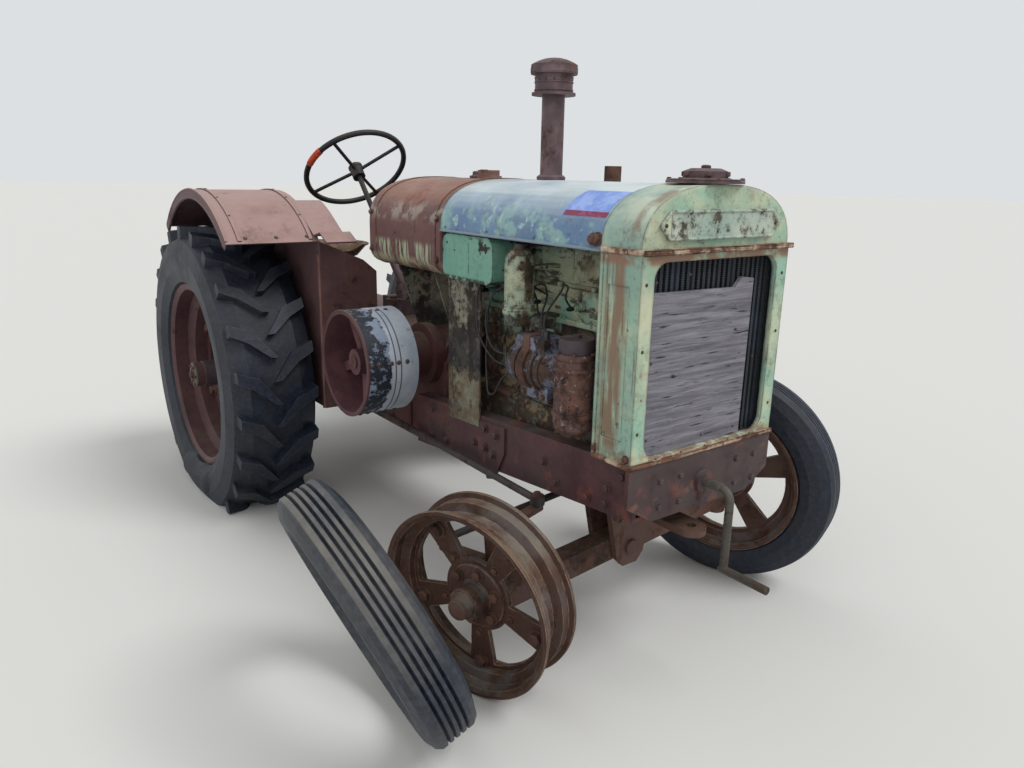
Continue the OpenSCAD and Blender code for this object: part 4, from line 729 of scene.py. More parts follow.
def choose(piece):
    clearSelection()
    piece.select_set(True)
    bpy.context.view_layer.objects.active = piece


def settle(piece):
    # the piece's place and turn go into its mesh
    choose(piece)
    bpy.ops.object.transform_apply(location=True, rotation=True, scale=True)


def heading(left, ahead, up):
    return Vector((left, -ahead, up))


def bevelEdges(piece, width, segments=2, angle=30):
    choose(piece)
    bevel = piece.modifiers.new("softEdges", "BEVEL")
    bevel.width = width
    bevel.segments = segments
    bevel.limit_method = "ANGLE"
    bevel.angle_limit = math.radians(angle)
    bpy.ops.object.modifier_apply(modifier=bevel.name)


def selectFaces(piece, test):
    # opens the piece for editing with only the faces selected whose centre and normal pass
    choose(piece)
    bpy.ops.object.mode_set(mode="EDIT")
    bpy.ops.mesh.select_mode(type="FACE")
    bpy.ops.mesh.select_all(action="DESELECT")
    shape = bmesh.from_edit_mesh(piece.data)
    for face in shape.faces:
        face.select_set(bool(test(face.calc_center_median(), face.normal)))
    bmesh.update_edit_mesh(piece.data)


def closeEdit():
    bpy.ops.object.mode_set(mode="OBJECT")


def joinPieces(parts):
    clearSelection()
    for part in parts:
        part.select_set(True)
    bpy.context.view_layer.objects.active = parts[0]
    if len(parts) > 1:
        bpy.ops.object.join()
    return parts[0]


def finishPiece(piece, name, finish, body="chassis", smooth=35):
    settle(piece)
    piece.name = name
    piece.data.name = name
    piece.data.materials.clear()
    piece.data.materials.append(looks[finish])
    bpy.ops.object.shade_smooth_by_angle(angle=math.radians(smooth))
    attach(piece, body)
    return piece


def addBlock(low, high, soft=0.0):
    # a block between two corners given in tractor places
    clearSelection()
    first, last = at(*low), at(*high)
    bpy.ops.mesh.primitive_cube_add(size=1, location=(first + last) / 2)
    block = bpy.context.object
    block.scale = [abs(v) for v in (last - first)]
    settle(block)
    if soft:
        bevelEdges(block, soft)
    return block


def addBar(start, end, radius, sides=20, soft=0.0):
    first, last = at(*start), at(*end)
    clearSelection()
    bpy.ops.mesh.primitive_cylinder_add(vertices=sides, radius=radius, depth=(last - first).length,
                                        location=(first + last) / 2)
    bar = bpy.context.object
    bar.rotation_mode = "QUATERNION"
    bar.rotation_quaternion = (last - first).to_track_quat("Z", "Y")
    settle(bar)
    if soft:
        bevelEdges(bar, soft)
    return bar


def addTurned(profile, foot, steps, direction=(0, 0, 1)):
    # a profile of radius against height, spun about the line that starts at its foot
    mesh = bpy.data.meshes.new("turned")
    mesh.from_pydata([(r, 0, h) for r, h in profile], [(i, i + 1) for i in range(len(profile) - 1)], [])
    piece = bpy.data.objects.new("turned", mesh)
    scene.collection.objects.link(piece)
    choose(piece)
    bpy.ops.object.mode_set(mode="EDIT")
    bpy.ops.mesh.select_all(action="SELECT")
    bpy.ops.mesh.spin(steps=steps, angle=2 * math.pi, center=(0, 0, 0), axis=(0, 0, 1))
    bpy.ops.mesh.select_all(action="SELECT")
    bpy.ops.mesh.remove_doubles(threshold=0.00005)
    bpy.ops.mesh.normals_make_consistent(inside=False)
    closeEdit()
    piece.location = at(*foot)
    piece.rotation_mode = "QUATERNION"
    piece.rotation_quaternion = heading(*direction).to_track_quat("Z", "Y")
    settle(piece)
    return piece


def addTube(points, radius, closed=False, smoothness=8):
    # a round tube along a smooth line through tractor places
    clearSelection()
    bpy.ops.curve.primitive_bezier_curve_add(location=(0, 0, 0))
    tube = bpy.context.object
    spline = tube.data.splines[0]
    spline.bezier_points.add(len(points) - 2)
    for knot, place in zip(spline.bezier_points, points):
        knot.co = at(*place)
        knot.handle_left_type = knot.handle_right_type = "AUTO"
    spline.use_cyclic_u = closed
    tube.data.dimensions = "3D"
    tube.data.resolution_u = smoothness
    tube.data.bevel_depth = radius
    tube.data.bevel_resolution = 2
    tube.data.use_fill_caps = True
    bpy.ops.object.convert(target="MESH")
    return bpy.context.object


def mm(text):
    # places or profile steps written in millimetres, as tuples in metres
    return [tuple(float(word) / 1000 for word in part.split()) for part in text.split(",")]


boltHead = {"radius": 0.011, "height": 0.008, "washer": 0.0155, "washerHeight": 0.0025}


def makeBolt(spec):
    # hex head with a turned crown, on its washer
    clearSelection()
    foot = spec["washerHeight"]
    bpy.ops.mesh.primitive_cylinder_add(vertices=6, radius=spec["radius"], depth=spec["height"],
                                        location=(0, 0, foot + spec["height"] / 2))
    head = bpy.context.object
    settle(head)
    selectFaces(head, lambda centre, normal: normal.z > 0.9)
    bpy.ops.mesh.inset(thickness=0.0022, depth=0.0)
    bpy.ops.transform.translate(value=(0, 0, 0.0016))
    closeEdit()
    clearSelection()
    bpy.ops.mesh.primitive_cylinder_add(vertices=14, radius=spec["washer"], depth=foot,
                                        location=(0, 0, foot / 2))
    washer = bpy.context.object
    settle(washer)
    selectFaces(washer, lambda centre, normal: normal.z > 0.9)
    bpy.ops.mesh.inset(thickness=0.0012, depth=0.0)
    closeEdit()
    return joinPieces([head, washer])


rivetHead = {"radius": 0.009, "height": 0.005}


def makeRivet(spec):
    clearSelection()
    bpy.ops.mesh.primitive_uv_sphere_add(segments=12, ring_count=8, radius=spec["radius"],
                                         location=(0, 0, 0))
    head = bpy.context.object
    head.scale.z = spec["height"] / spec["radius"]
    settle(head)
    choose(head)
    bpy.ops.object.mode_set(mode="EDIT")
    bpy.ops.mesh.select_all(action="SELECT")
    bpy.ops.mesh.bisect(plane_co=(0, 0, 0), plane_no=(0, 0, 1), clear_inner=True, use_fill=True)
    closeEdit()
    return head


masterBolt = makeBolt(boltHead)
masterRivet = makeRivet(rivetHead)
chance = random.Random(7)


def fastenerSet(master, name, spots, finish, body="chassis"):
    # one piece from copies of a bolt or rivet: place, facing and size of each
    copies = []
    for place, facing, size in spots:
        copy = master.copy()
        copy.data = master.data.copy()
        scene.collection.objects.link(copy)
        copy.location = at(*place)
        copy.rotation_mode = "QUATERNION"
        spin = Matrix.Rotation(chance.uniform(0, 6.28), 3, "Z").to_quaternion()
        copy.rotation_quaternion = heading(*facing).to_track_quat("Z", "Y") @ spin
        copy.scale = (size, size, size)
        settle(copy)
        copies.append(copy)
    return finishPiece(joinPieces(copies), name, finish, body)


def ringSpots(middle, facing, out, radius, count, size, start=0.0, rise=Vector((0, 0, 1))):
    # evenly round an axis through the middle, out along it
    outward = Vector(facing)
    across = outward.cross(rise).normalized()
    spots = []
    for i in range(count):
        turn = start + 2 * math.pi * i / count
        place = Vector(middle) + outward * out + (across * math.cos(turn) + rise * math.sin(turn)) * radius
        spots.append((tuple(place), tuple(outward), size))
    return spots


def around(centre, radius, turn):
    # left and ahead of a place on a level circle
    return centre[0] + radius * math.cos(turn), centre[1] + radius * math.sin(turn)


def levelSpots(centre, up, radius, turns, size, outward=False):
    # round a level circle, facing out from its middle or up
    spots = []
    for turn in turns:
        facing = (math.cos(turn), math.sin(turn), 0) if outward else (0, 0, 1)
        spots.append(((*around(centre, radius, turn), up), facing, size))
    return spots


def bothSides(spots):
    return spots + [((-p[0], p[1], p[2]), (-n[0], n[1], n[2]), size) for p, n, size in spots]


print("helpers and fasteners ready")

# Radiator shell, name plate, ledges and their pins

shellTrim = {
    "front": 2.256,
    "plateLow": 1.299,
    "plateHigh": 1.367,
    "plateHalf": 0.238,
    "plateFlat": 0.205,
    "ledgeLow": 1.262,
    "ledgeHigh": 1.276,
    "ledgeReach": 0.014,
    "halfWidth": 0.2995,
    "rim": 0.0045,
}


def addShellTrim(spec):
    front = spec["front"]
    low, high, half, flat = spec["plateLow"], spec["plateHigh"], spec["plateHalf"], spec["plateFlat"]
    middle = (low + high) / 2
    outline = [(-half, middle), (-flat, low), (flat, low), (half, middle), (flat, high), (-flat, high)]
    bars = []
    for i in range(6):
        a, b = outline[i], outline[(i + 1) % 6]
        bars.append(addBar((a[0], front + 0.001, a[1]), (b[0], front + 0.001, b[1]), spec["rim"], 10))
    rim = joinPieces(bars)
    finishPiece(rim, "namePlateRim", "plateGrey", smooth=60)
    # the plate's blank field, hammered by age
    clearSelection()
    bpy.ops.mesh.primitive_cylinder_add(vertices=6, radius=1.0, depth=0.003, location=(0, 0, 0))
    plate = bpy.context.object
    settle(plate)
    for vertex in plate.data.vertices:
        step = round(math.degrees(math.atan2(vertex.co.y, vertex.co.x)) / 60) % 6
        x = {0: half, 1: flat, 2: -flat, 3: -half, 4: -flat, 5: flat}[step]
        z = {0: middle, 1: high, 2: high, 3: middle, 4: low, 5: low}[step]
        vertex.co = at(x * 0.985, front + 0.0005 + vertex.co.z, middle + (z - middle) * 0.94)
    selectFaces(plate, lambda centre, normal: abs(normal.y) > 0.9)
    bpy.ops.mesh.inset(thickness=0.007, depth=-0.0008)
    closeEdit()
    choose(plate)
    bpy.ops.object.mode_set(mode="EDIT")
    bpy.ops.mesh.select_all(action="SELECT")
    bpy.ops.mesh.normals_make_consistent(inside=False)
    closeEdit()
    finishPiece(plate, "namePlateField", "plateGrey")
    pins = [((x, front + 0.001, middle), (0, 1, 0), 0.6) for x in (-half + 0.017, half - 0.017)]
    fastenerSet(masterRivet, "namePlatePins", pins, "darkPlum")


def addLedge(name, low, high, reach, spec):
    # a folded lip across the front that turns back along both sides
    x, front = spec["halfWidth"], spec["front"]
    lip = addBlock((-x - 0.004, front - 0.012, low), (x + 0.004, front + reach, high), 0.003)
    sides = [addBlock((s * x - 0.006, 2.112, low), (s * x + 0.006, front, high), 0.003) for s in (-1, 1)]
    ledge = joinPieces([lip] + sides)
    selectFaces(ledge, lambda centre, normal: True)
    bpy.ops.mesh.subdivide(number_cuts=6)
    closeEdit()
    for vertex in ledge.data.vertices:
        # dents along the lip's edge
        if vertex.co.y < at(0, front + reach * 0.6, 0).y:
            vertex.co.z += chance.uniform(-0.0016, 0.0012)
            vertex.co.y += chance.uniform(0, 0.0022)
    return finishPiece(ledge, name, "ledgeRust", smooth=50)


def addShellPins(spec):
    front, x = spec["front"], spec["halfWidth"] - 0.022
    spots = [((s * x, front, z), (0, 1, 0), 0.55) for s in (-1, 1) for z in (0.80, 1.02, 1.19)]
    spots += [((-0.2 + 0.1 * i, front, 0.716), (0, 1, 0), 0.5) for i in range(5)]
    fastenerSet(masterRivet, "bezelPins", spots, "darkPlum")
    hooks = bothSides([((-0.2975, 2.075, 1.29), (-1, 0, 0.1), 1.1), ((-0.297, 2.24, 0.73), (-1, 0, 0), 0.8),
                       ((-0.297, 2.12, 0.73), (-1, 0, 0), 0.8)])
    fastenerSet(masterBolt, "shellBolts", hooks, "oldIron")


addShellTrim(shellTrim)
addLedge("shellLedge", shellTrim["ledgeLow"], shellTrim["ledgeHigh"], shellTrim["ledgeReach"], shellTrim)
addLedge("shellSill", 0.703, 0.716, 0.009, shellTrim)
addShellPins(shellTrim)
print("radiator shell dressed")

# Hood: rolled edges, rivets, latch bolts and the blank lot sticker

hoodTrim = {
    "edgeZ": 1.263,
    "half": 0.2925,
    "back": 1.308,
    "front": 2.102,
    "roll": 0.0045,
}
stickerSheet = {
    "ahead": (1.922, 2.094),
    "left": (-0.274, -0.186),
    "skew": 0.01,
    "lift": 0.0016,
}
bandShare = 0.11
stickerLeft, stickerRight = stickerSheet["left"][1], stickerSheet["left"][0]
stickerBand = {
    "ahead": stickerSheet["ahead"],
    "left": (stickerRight, stickerRight + bandShare * (stickerLeft - stickerRight)),
    "skew": stickerSheet["skew"] * bandShare,
    "lift": stickerSheet["lift"] + 0.0008,
}


def addStickerStrip(name, spec, finish):
    # a thin sheet laid over the hood by shrinkwrap
    ahead, left = spec["ahead"], spec["left"]
    clearSelection()
    bpy.ops.mesh.primitive_grid_add(x_subdivisions=22, y_subdivisions=14, size=1, location=(0, 0, 0))
    sheet = bpy.context.object
    for vertex in sheet.data.vertices:
        u, v = vertex.co.x + 0.5, vertex.co.y + 0.5
        x = left[0] + (left[1] - left[0]) * u
        y = ahead[0] + (ahead[1] - ahead[0]) * v + spec["skew"] * (u - 0.5)
        vertex.co = at(x, y, 1.6)
    choose(sheet)
    wrap = sheet.modifiers.new("layOnHood", "SHRINKWRAP")
    wrap.target = nodes["hood"]
    wrap.wrap_method = "PROJECT"
    wrap.use_project_z = True
    wrap.use_negative_direction = True
    wrap.use_positive_direction = False
    wrap.offset = spec["lift"]
    bpy.ops.object.modifier_apply(modifier=wrap.name)
    thick = sheet.modifiers.new("paper", "SOLIDIFY")
    thick.thickness = 0.0006
    thick.offset = 1.0
    bpy.ops.object.modifier_apply(modifier=thick.name)
    return finishPiece(sheet, name, finish, smooth=60)


def addHoodTrim(spec):
    rolls = []
    up = spec["edgeZ"]
    for x in (-spec["half"], spec["half"]):
        rolls.append(addBar((x, spec["back"], up), (x, spec["front"], up), spec["roll"], 10))
    finishPiece(joinPieces(rolls), "hoodRolledEdges", "hoodBlue")
    spots = bothSides([((-0.2935, y, 1.276), (-1, 0, 0.15), 0.55) for y in (1.34, 1.58, 1.82)])
    fastenerSet(masterRivet, "hoodRivets", spots, "hoodBlue")
    latch = [((-0.2915, 2.085, 1.29), (-1, 0, 0.2), 1.25), ((0.2915, 2.085, 1.29), (1, 0, 0.2), 1.25)]
    fastenerSet(masterBolt, "hoodLatchBolts", latch, "oldIron")


addHoodTrim(hoodTrim)
addStickerStrip("lotSticker", stickerSheet, "stickerPaper")
addStickerStrip("lotStickerBand", stickerBand, "stickerBand")
print("hood dressed")

# Engine: leads, magneto, canister, governor, covers, pipes and studs

leadSpec = {
    "radius": 0.0032,
    "towers": mm("-279 1875 992, -263 1841 992, -247 1807 992, -231 1773 992"),
    "plugs": mm("-158 1850 1062, -158 1690 1062, -158 1545 1062, -158 1400 1062"),
    "loops": [
        mm("-250 1735 910, -270 1660 865, -285 1575 900, -290 1525 1020, -270 1545 1130, "
           "-235 1620 1155, -200 1680 1120, -150 1720 1085"),
        mm("-250 1735 890, -275 1655 820, -285 1600 755, -280 1575 800, -270 1560 950, "
           "-250 1550 1060, -210 1560 1110, -160 1600 1100"),
        mm("-260 1735 930, -275 1640 900, -280 1585 930, -270 1570 1050, -240 1600 1100, "
           "-190 1640 1070"),
    ],
}


def addIgnitionLeads(spec):
    for i, (tower, plug) in enumerate(zip(spec["towers"], spec["plugs"])):
        rise = 1.135 - 0.01 * i
        points = [tower, (tower[0] + 0.01, tower[1] - 0.025, tower[2] + 0.04),
                  (-0.2, tower[1] * 0.75 + plug[1] * 0.25 - 0.03, rise - 0.02),
                  (-0.19, tower[1] * 0.4 + plug[1] * 0.6 - 0.01, rise),
                  (-0.187, plug[1] - 0.004, plug[2] + 0.034), (plug[0] - 0.008, plug[1], plug[2])]
        lead = addTube(points, spec["radius"])
        boot = addTurned(mm("0 0, 6.2 0, 7.5 6, 6.2 20, 4 24, 0 24"),
                         (plug[0] - 0.002, plug[1], plug[2]), 14, (-1, 0, 0))
        finishPiece(joinPieces([lead, boot]), "ignitionLead%d" % (i + 1), "leadRubber")
    for i, points in enumerate(spec["loops"]):
        finishPiece(addTube(points, spec["radius"]), "wiringLoop%d" % (i + 1), "leadRubber")


magnetoTrim = {
    "centre": (-0.255, 0.892),
    "strap": (1.79, 1.826),
    "strapRadius": 0.0705,
}


def addMagnetoTrim(spec):
    x, z = spec["centre"]
    # brown strap over the housing, bowed between its feet
    strap = addTurned([(0.066, 0), (spec["strapRadius"] + 0.004, 0.0), (spec["strapRadius"] + 0.004, 0.034),
                       (0.066, 0.034), (0.066, 0)], (x, spec["strap"][0], z), 40, (0, 1, 0))
    bevelEdges(strap, 0.0015, 1)
    back, front = spec["strap"]
    bridge = addBlock((x - 0.049, back, z + 0.03), (x + 0.049, front, z + 0.1), 0.006)
    finishPiece(joinPieces([strap, bridge]), "magnetoStrap", "oldIron")
    # end bell and drive coupling toward the governor
    bell = addTurned(mm("0 0, 61 0, 63 6, 58 20, 47 30, 45 52, 53 54, 53 68, 30 71, 28 82, 0 82"),
                     (x, 1.884, z), 36, (0, 1, 0))
    finishPiece(bell, "magnetoEndBell", "castGrey")
    rear = addTurned(mm("0 0, 45 0, 55 6, 64 12, 67 20, 0 20"),
                     (x, 1.722, z), 36, (0, 1, 0))
    finishPiece(rear, "magnetoRearCap", "castGrey")
    towers = [addTurned(mm("0 0, 10.5 0, 10.5 6, 8.5 10, 8.5 22, 6 26, 0 26"), (*t[:2], 0.984), 14)
              for t in leadSpec["towers"]]
    finishPiece(joinPieces(towers), "magnetoTowers", "leadRubber")
    spots = ringSpots((x, 1.8845, z), (0, 1, 0), 0.0, 0.055, 6, 0.45)
    spots += [((x - 0.035 - 0.001, y, 0.812), (-1, 0, 0), 0.7) for y in (1.79, 1.88)]
    spots += [((x + 0.05 * s, 1.8755, 0.955), (0, 1, 0), 0.5) for s in (-0.6, 0.6)]
    fastenerSet(masterBolt, "magnetoBolts", spots, "oldIron")


canister = {
    "centre": (-0.268, 1.724),
    "low": 1.0,
    "bowl": mm("0 4, 36 4, 43 10, 46 20, 46 38, 0 38"),
    "body": mm("0 36, 47 36, 50.5 40, 51 46, 50.5 51, 47 53, 46.5 60, 48.5 62, 48.5 66, 46.2 69, "
               "46 190, 44.5 203, 41 215, 34 226, 24 233.5, 0 236"),
    "neck": mm("0 230, 19 231, 21 236, 17 240, 17 249.5, 0 249.5"),
}


def addCanister(spec):
    x, y = spec["centre"]
    foot = (x, y, spec["low"])
    body = addTurned(spec["body"], foot, 48)
    strap = addBlock((x + 0.03, y - 0.018, 1.172), (-0.123, y + 0.018, 1.184), 0.002)
    piece = joinPieces([body, strap])
    finishPiece(piece, "canisterBody", "speckledMint")
    arm = addBlock((x + 0.02, y - 0.024, 1.006), (-0.123, y + 0.024, 1.03), 0.005)
    casting = addBlock((x + 0.012, y + 0.02, 1.0035), (x + 0.07, y + 0.1, 1.035), 0.008)
    bowl = joinPieces([addTurned(spec["bowl"], foot, 40), arm, casting])
    finishPiece(bowl, "canisterBowl", "darkMint")
    neck = joinPieces([addTurned(spec["neck"], foot, 28),
                       addTube([(x, y, 1.2385), (x + 0.03, y - 0.02, 1.241), (x + 0.1, y - 0.05, 1.24),
                                (x + 0.18, y - 0.06, 1.235)], 0.0065)])
    finishPiece(neck, "canisterNeck", "darkPlum")
    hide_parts("filter_canister")
    spots = levelSpots((x, y), 1.064, 0.0475, (3.6, 3.95), 0.45, outward=True)
    fastenerSet(masterBolt, "canisterClampBolts", spots, "oldIron")


governorTrim = {"centre": (-0.285, 2.015), "low": 0.735, "radius": 0.06}


def addGovernorTrim(spec):
    x, y = spec["centre"]
    r, low = spec["radius"], spec["low"]
    bulge = [(r + more, height) for more, height in mm("0 0, 5 2, 5.5 7, 5 12, 0 14, 0 0")]
    seam = addTurned(bulge,
                     (x, y, low + 0.19), 40)
    finishPiece(seam, "filterSeam", "governorRust")
    cap = addTurned(mm("49 0, 50.5 3, 50.5 46, 48 52, 30 54, 12 54, 12 62, 0 62"),
                    (x, y, low + 0.228), 36)
    finishPiece(cap, "filterCap", "darkPlum")
    spots = levelSpots((x, y), low + 0.2395, 0.055, (0.3, 1.35, 2.4, 3.45, 4.5, 5.55), 0.45)
    fastenerSet(masterBolt, "filterCapBolts", spots, "oldIron")


engineTrim = {
    "blockSide": 0.122,
    "back": 1.35,
    "front": 2.0,
}


def addEngineTrim(spec):
    x = spec["blockSide"]
    # flange between block and head with its studs, both sides
    for side, word in ((-1, "Right"), (1, "Left")):
        flange = addBlock((side * x, spec["back"], 1.002), (side * (x + 0.016), spec["front"] + 0.03, 1.02),
                          0.003)
        finishPiece(flange, "headFlange" + word, "headCream")
    studs = bothSides([((-x - 0.008, 1.38 + 0.078 * i, 1.02), (0, 0, 1), 0.75) for i in range(9)])
    fastenerSet(masterBolt, "headStuds", studs, "headCream")
    # pushrod covers: raised pans with a rolled edge and a dark gap around
    pans = []
    for y in (1.46, 1.61, 1.88):
        pan = addBlock((-x - 0.012, y, 0.80), (-x + 0.002, y + 0.13, 0.975), 0.004)
        selectFaces(pan, lambda centre, normal: normal.x < -0.9)
        bpy.ops.mesh.inset(thickness=0.012, depth=0.0)
        bpy.ops.mesh.inset(thickness=0.006, depth=-0.006)
        closeEdit()
        pans.append(pan)
    finishPiece(joinPieces(pans), "pushrodCovers", "headCream")
    knobs = [((-x - 0.0065, y + 0.065, 0.888), (-1, 0, 0), 1.1) for y in (1.46, 1.61, 1.88)]
    fastenerSet(masterBolt, "pushrodCoverNuts", knobs, "oldIron")
    # rocker cover: seams and an oil filler
    ribs = [addBlock((-0.0905, y, 1.13), (0.0905, y + 0.008, 1.239), 0.003)
            for y in (1.44, 1.60, 1.76, 1.92)]
    finishPiece(joinPieces(ribs), "rockerCoverSeams", "headCream")
    filler = addTurned(mm("0 0, 24 0, 24 6, 20 8, 20 16, 27 18, 27 30, 20 34, 0 34"),
                       (0, 1.97, 1.237), 26)
    finishPiece(filler, "oilFiller", "oldIron")
    # pipes down the right side
    pipes = {
        "fuelPipe": (mm("-190 1560 1118, -185 1565 1070, -150 1575 1045, -145 1585 930, "
                        "-150 1600 860, -200 1660 800, -250 1700 790"), 0.0042, "oldIron"),
        "oilPipe": (mm("-285 1955 800, -260 1930 770, -200 1920 760, -152 1900 758"), 0.005,
                    "oldIron"),
        "waterPipe": (mm("-120 1990 840, -160 2000 860, -190 2010 930, -200 2020 1020, "
                         "-190 2040 1060, -160 2045 1080"), 0.013, "darkPlum"),
        "breatherPipe": (mm("-130 1430 760, -160 1430 780, -170 1430 840, -170 1430 920"), 0.011,
                         "oldIron"),
    }
    for name, (points, radius, finish) in pipes.items():
        finishPiece(addTube(points, radius), name, finish)
    breather = addTurned(mm("0 0, 20 0, 26 6, 26 30, 18 38, 0 40"),
                         (-0.17, 1.43, 0.915), 24)
    finishPiece(breather, "breatherCap", "oldIron")
    sump = bothSides([((-0.1602, 1.36 + 0.094 * i, 0.721), (-1, 0, 0), 0.75) for i in range(8)])
    fastenerSet(masterBolt, "crankcaseBolts", sump, "blockGreen")
    ports = [((0.1345, y, z), (1, 0, 0), 0.9) for y in (1.459, 1.604, 1.749, 1.894) for z in (1.006, 1.046)]
    fastenerSet(masterBolt, "manifoldNuts", ports, "oldIron")
    bowl = addTurned(mm("0 0, 12 0, 30 12, 36 30, 42 34, 42 42, 0 42"),
                     (0.162, 1.689, 0.84), 28)
    finishPiece(bowl, "carburettorBowl", "castGrey")
    intake = addTube(mm("162 1689 920, 190 1720 930, 200 1800 940, 190 1880 980, 150 1900 1070, "
                        "100 1800 1140, 88 1600 1170"), 0.019)
    finishPiece(intake, "airPipe", "oldIron")


addIgnitionLeads(leadSpec)
addMagnetoTrim(magnetoTrim)
addCanister(canister)
addGovernorTrim(governorTrim)
addEngineTrim(engineTrim)
print("engine dressed")

# Frame: bolts of the rails, bolster and axle bracket, gearbox bolts and filler

frameTrim = {
    "railFace": 0.2625,
    "plateFace": 0.2705,
    "railSpots": mm("1481 550, 2141 608, 2061 555, 2140 562, 1200 600, 1200 500, 1300 505, "
                    "1860 600, 1920 550, 2200 660"),
    "plateSpots": mm("1554 621, 1617 614, 1554 553, 1600 540"),
}


def addFrameTrim(spec):
    spots = bothSides([((-spec["railFace"], y, z), (-1, 0, 0), 1.0) for y, z in spec["railSpots"]])
    spots += [((-spec["plateFace"], y, z), (-1, 0, 0), 1.1) for y, z in spec["plateSpots"]]
    fastenerSet(masterBolt, "railBolts", spots, "railRed")
    nose = [((x, 2.277, z), (0, 1, 0), 0.75) for x in (-0.2, -0.12, 0.12, 0.2) for z in (0.585, 0.66)]
    fastenerSet(masterBolt, "bolsterBolts", nose, "darkPlum")
    cheeks = bothSides([((-0.0865, 2.02, 0.43), (-1, 0, 0), 1.3), ((-0.0865, 1.90, 0.43), (-1, 0, 0), 1.0)])
    fastenerSet(masterBolt, "bracketBolts", cheeks, "oldIron")


def addGearboxTrim():
    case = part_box("gearbox_case")
    side = 0.187
    spots = bothSides([((-side, y, 0.80), (-1, 0, 0), 0.9) for y in (0.35, 0.5, 0.65, 0.8)]
                      + [((-side, y, 0.43), (-1, 0, 0), 0.9) for y in (0.35, 0.55, 0.75)])
    spots += bothSides(ringSpots((-0.3985, 0.0, rearAxleZ), (-1, 0, 0), 0.0, 0.096, 8, 1.0, 0.2))
    fastenerSet(masterBolt, "gearboxBolts", spots, "driveLineRed")
    plug = addTurned(mm("0 0, 30 0, 32 4, 30 10, 16 12, 16 22, 0 22"),
                     (-0.1, 0.6, case[1].z - 0.001), 24)
    finishPiece(plug, "gearboxFiller", "oldIron")


addFrameTrim(frameTrim)
addGearboxTrim()
print("frame dressed")

# Wheels: hub ends, collars, flanges, caps and bolts

joints = {joint["name"]: joint for joint in frame["joints"]}


def fromRow(place):
    # a place of the shared frame, in tractor places
    return Vector((place[0] - centreX, rearAxleY - place[1], place[2]))


def jointLine(name):
    # a joint's middle and axis, in tractor places
    joint = joints[name]
    x, y, z = joint["axis"]
    return fromRow(joint["pos_m"]), Vector((x, -y, z))


def topAlong(piece, middle, axis, reach):
    # how far up the axis a piece's mesh goes, close round that axis
    places = [fromRow(vertex.co) - middle for vertex in piece.data.vertices]
    return max(p.dot(axis) for p in places if (p - axis * p.dot(axis)).length < reach)


rearWheel = {
    "x": 0.648,
    "sleeve": mm("54 20, 59.5 21, 60.5 28, 58.5 34, 58.5 118, 54.5 121, 54 20"),
    "end": mm("0 148, 52 148, 56.5 150, 56.5 157, 50 161, 34 161.5, 32 156, 0 156"),
    "flange": mm("118 -2, 122.5 2, 122.5 11, 118 13.5, 70 13.5, 66 20, 54 22"),
}
frontWheel = {
    "reach": 0.086,
    "collar": mm("45 36, 50.5 38, 50.5 56, 45 60"),
    "cap": mm("0 85, 30.5 85, 32 89, 28.5 94.5, 18 98, 0 99"),
    "flange": mm("94 0, 98.5 1, 98.5 6.5, 94 8.5, 52 8.5, 45.5 18"),
}


rearHubParts = (("HubSleeve", "sleeve", "darkPlum", 40), ("HubEnd", "end", "crankSteel", 40),
                ("HubFlange", "flange", "rearWheelRust", 56))
frontHubParts = (("FrontCollar", "collar", "oldIron", 36), ("FrontCap", "cap", "oldIron", 32),
                 ("FrontFlange", "flange", "frontWheelRust", 48))


def addRearHubs(spec):
    for side, word in ((-1, "right"), (1, "left")):
        body = word + "_rear_wheel"
        foot, out = (side * spec["x"], 0.0, rearAxleZ), (side, 0, 0)
        for label, key, finish, steps in rearHubParts:
            finishPiece(addTurned(spec[key], foot, steps, out), word + label, finish, body)
        middle, outward = Vector(foot), Vector(out)
        spots = ringSpots(middle, outward, 0.1605, 0.0435, 6, 0.55)
        spots += ringSpots(middle, outward, 0.0135, 0.096, 8, 1.7)
        spots += ringSpots(middle, outward, -0.004, 0.315, 6, 2.0, math.radians(30))
        spots += [((side * (spec["x"] + 0.156), 0.0, rearAxleZ), out, 1.5)]
        fastenerSet(masterBolt, word + "RearWheelBolts", spots, "oldIron", body)
        # the bead's rolled edge, rubbed bright
        ring = mm("409.5 144, 411.5 146, 412.5 149, 409.5 151.5, 404 151.2, 402 148")
        finishPiece(addTurned(ring + ring[:1], foot, 96, out), word + "RearRimEdge", "rearWheelRust",
                    body)


def addFrontHubs(spec):
    for side, word in ((-1, "right"), (1, "left")):
        body = word + "_front_wheel"
        middle, outward = jointLine(word + "_front_spin")
        outward *= side
        middle += outward * spec["reach"]
        foot, out = tuple(middle), tuple(outward)
        for label, key, finish, steps in frontHubParts:
            finishPiece(addTurned(spec[key], foot, steps, out), word + label, finish, body)
        rise = jointLine("steer_" + word)[1]
        spots = ringSpots(middle, outward, 0.0085, 0.077, 6, 1.35, 0.3, rise)
        spokeTurn = math.radians(54 if side < 0 else 18)
        spots += ringSpots(middle, outward, 0.0, 0.214, 5, 1.7, spokeTurn, rise)
        spots += ringSpots(middle, outward, 0.0, 0.125, 5, 1.0, spokeTurn, rise)
        fastenerSet(masterBolt, word + "FrontWheelBolts", spots, "oldIron", body)


addRearHubs(rearWheel)
addFrontHubs(frontWheel)
print("wheels dressed")

# Belt pulley: rivets across its face and the rim's edge

pulleyTrim = {"ahead": 1.04, "up": 0.775, "radius": 0.193, "face": -0.538,
              "rows": (-0.522, -0.493, -0.447, -0.419, -0.385)}


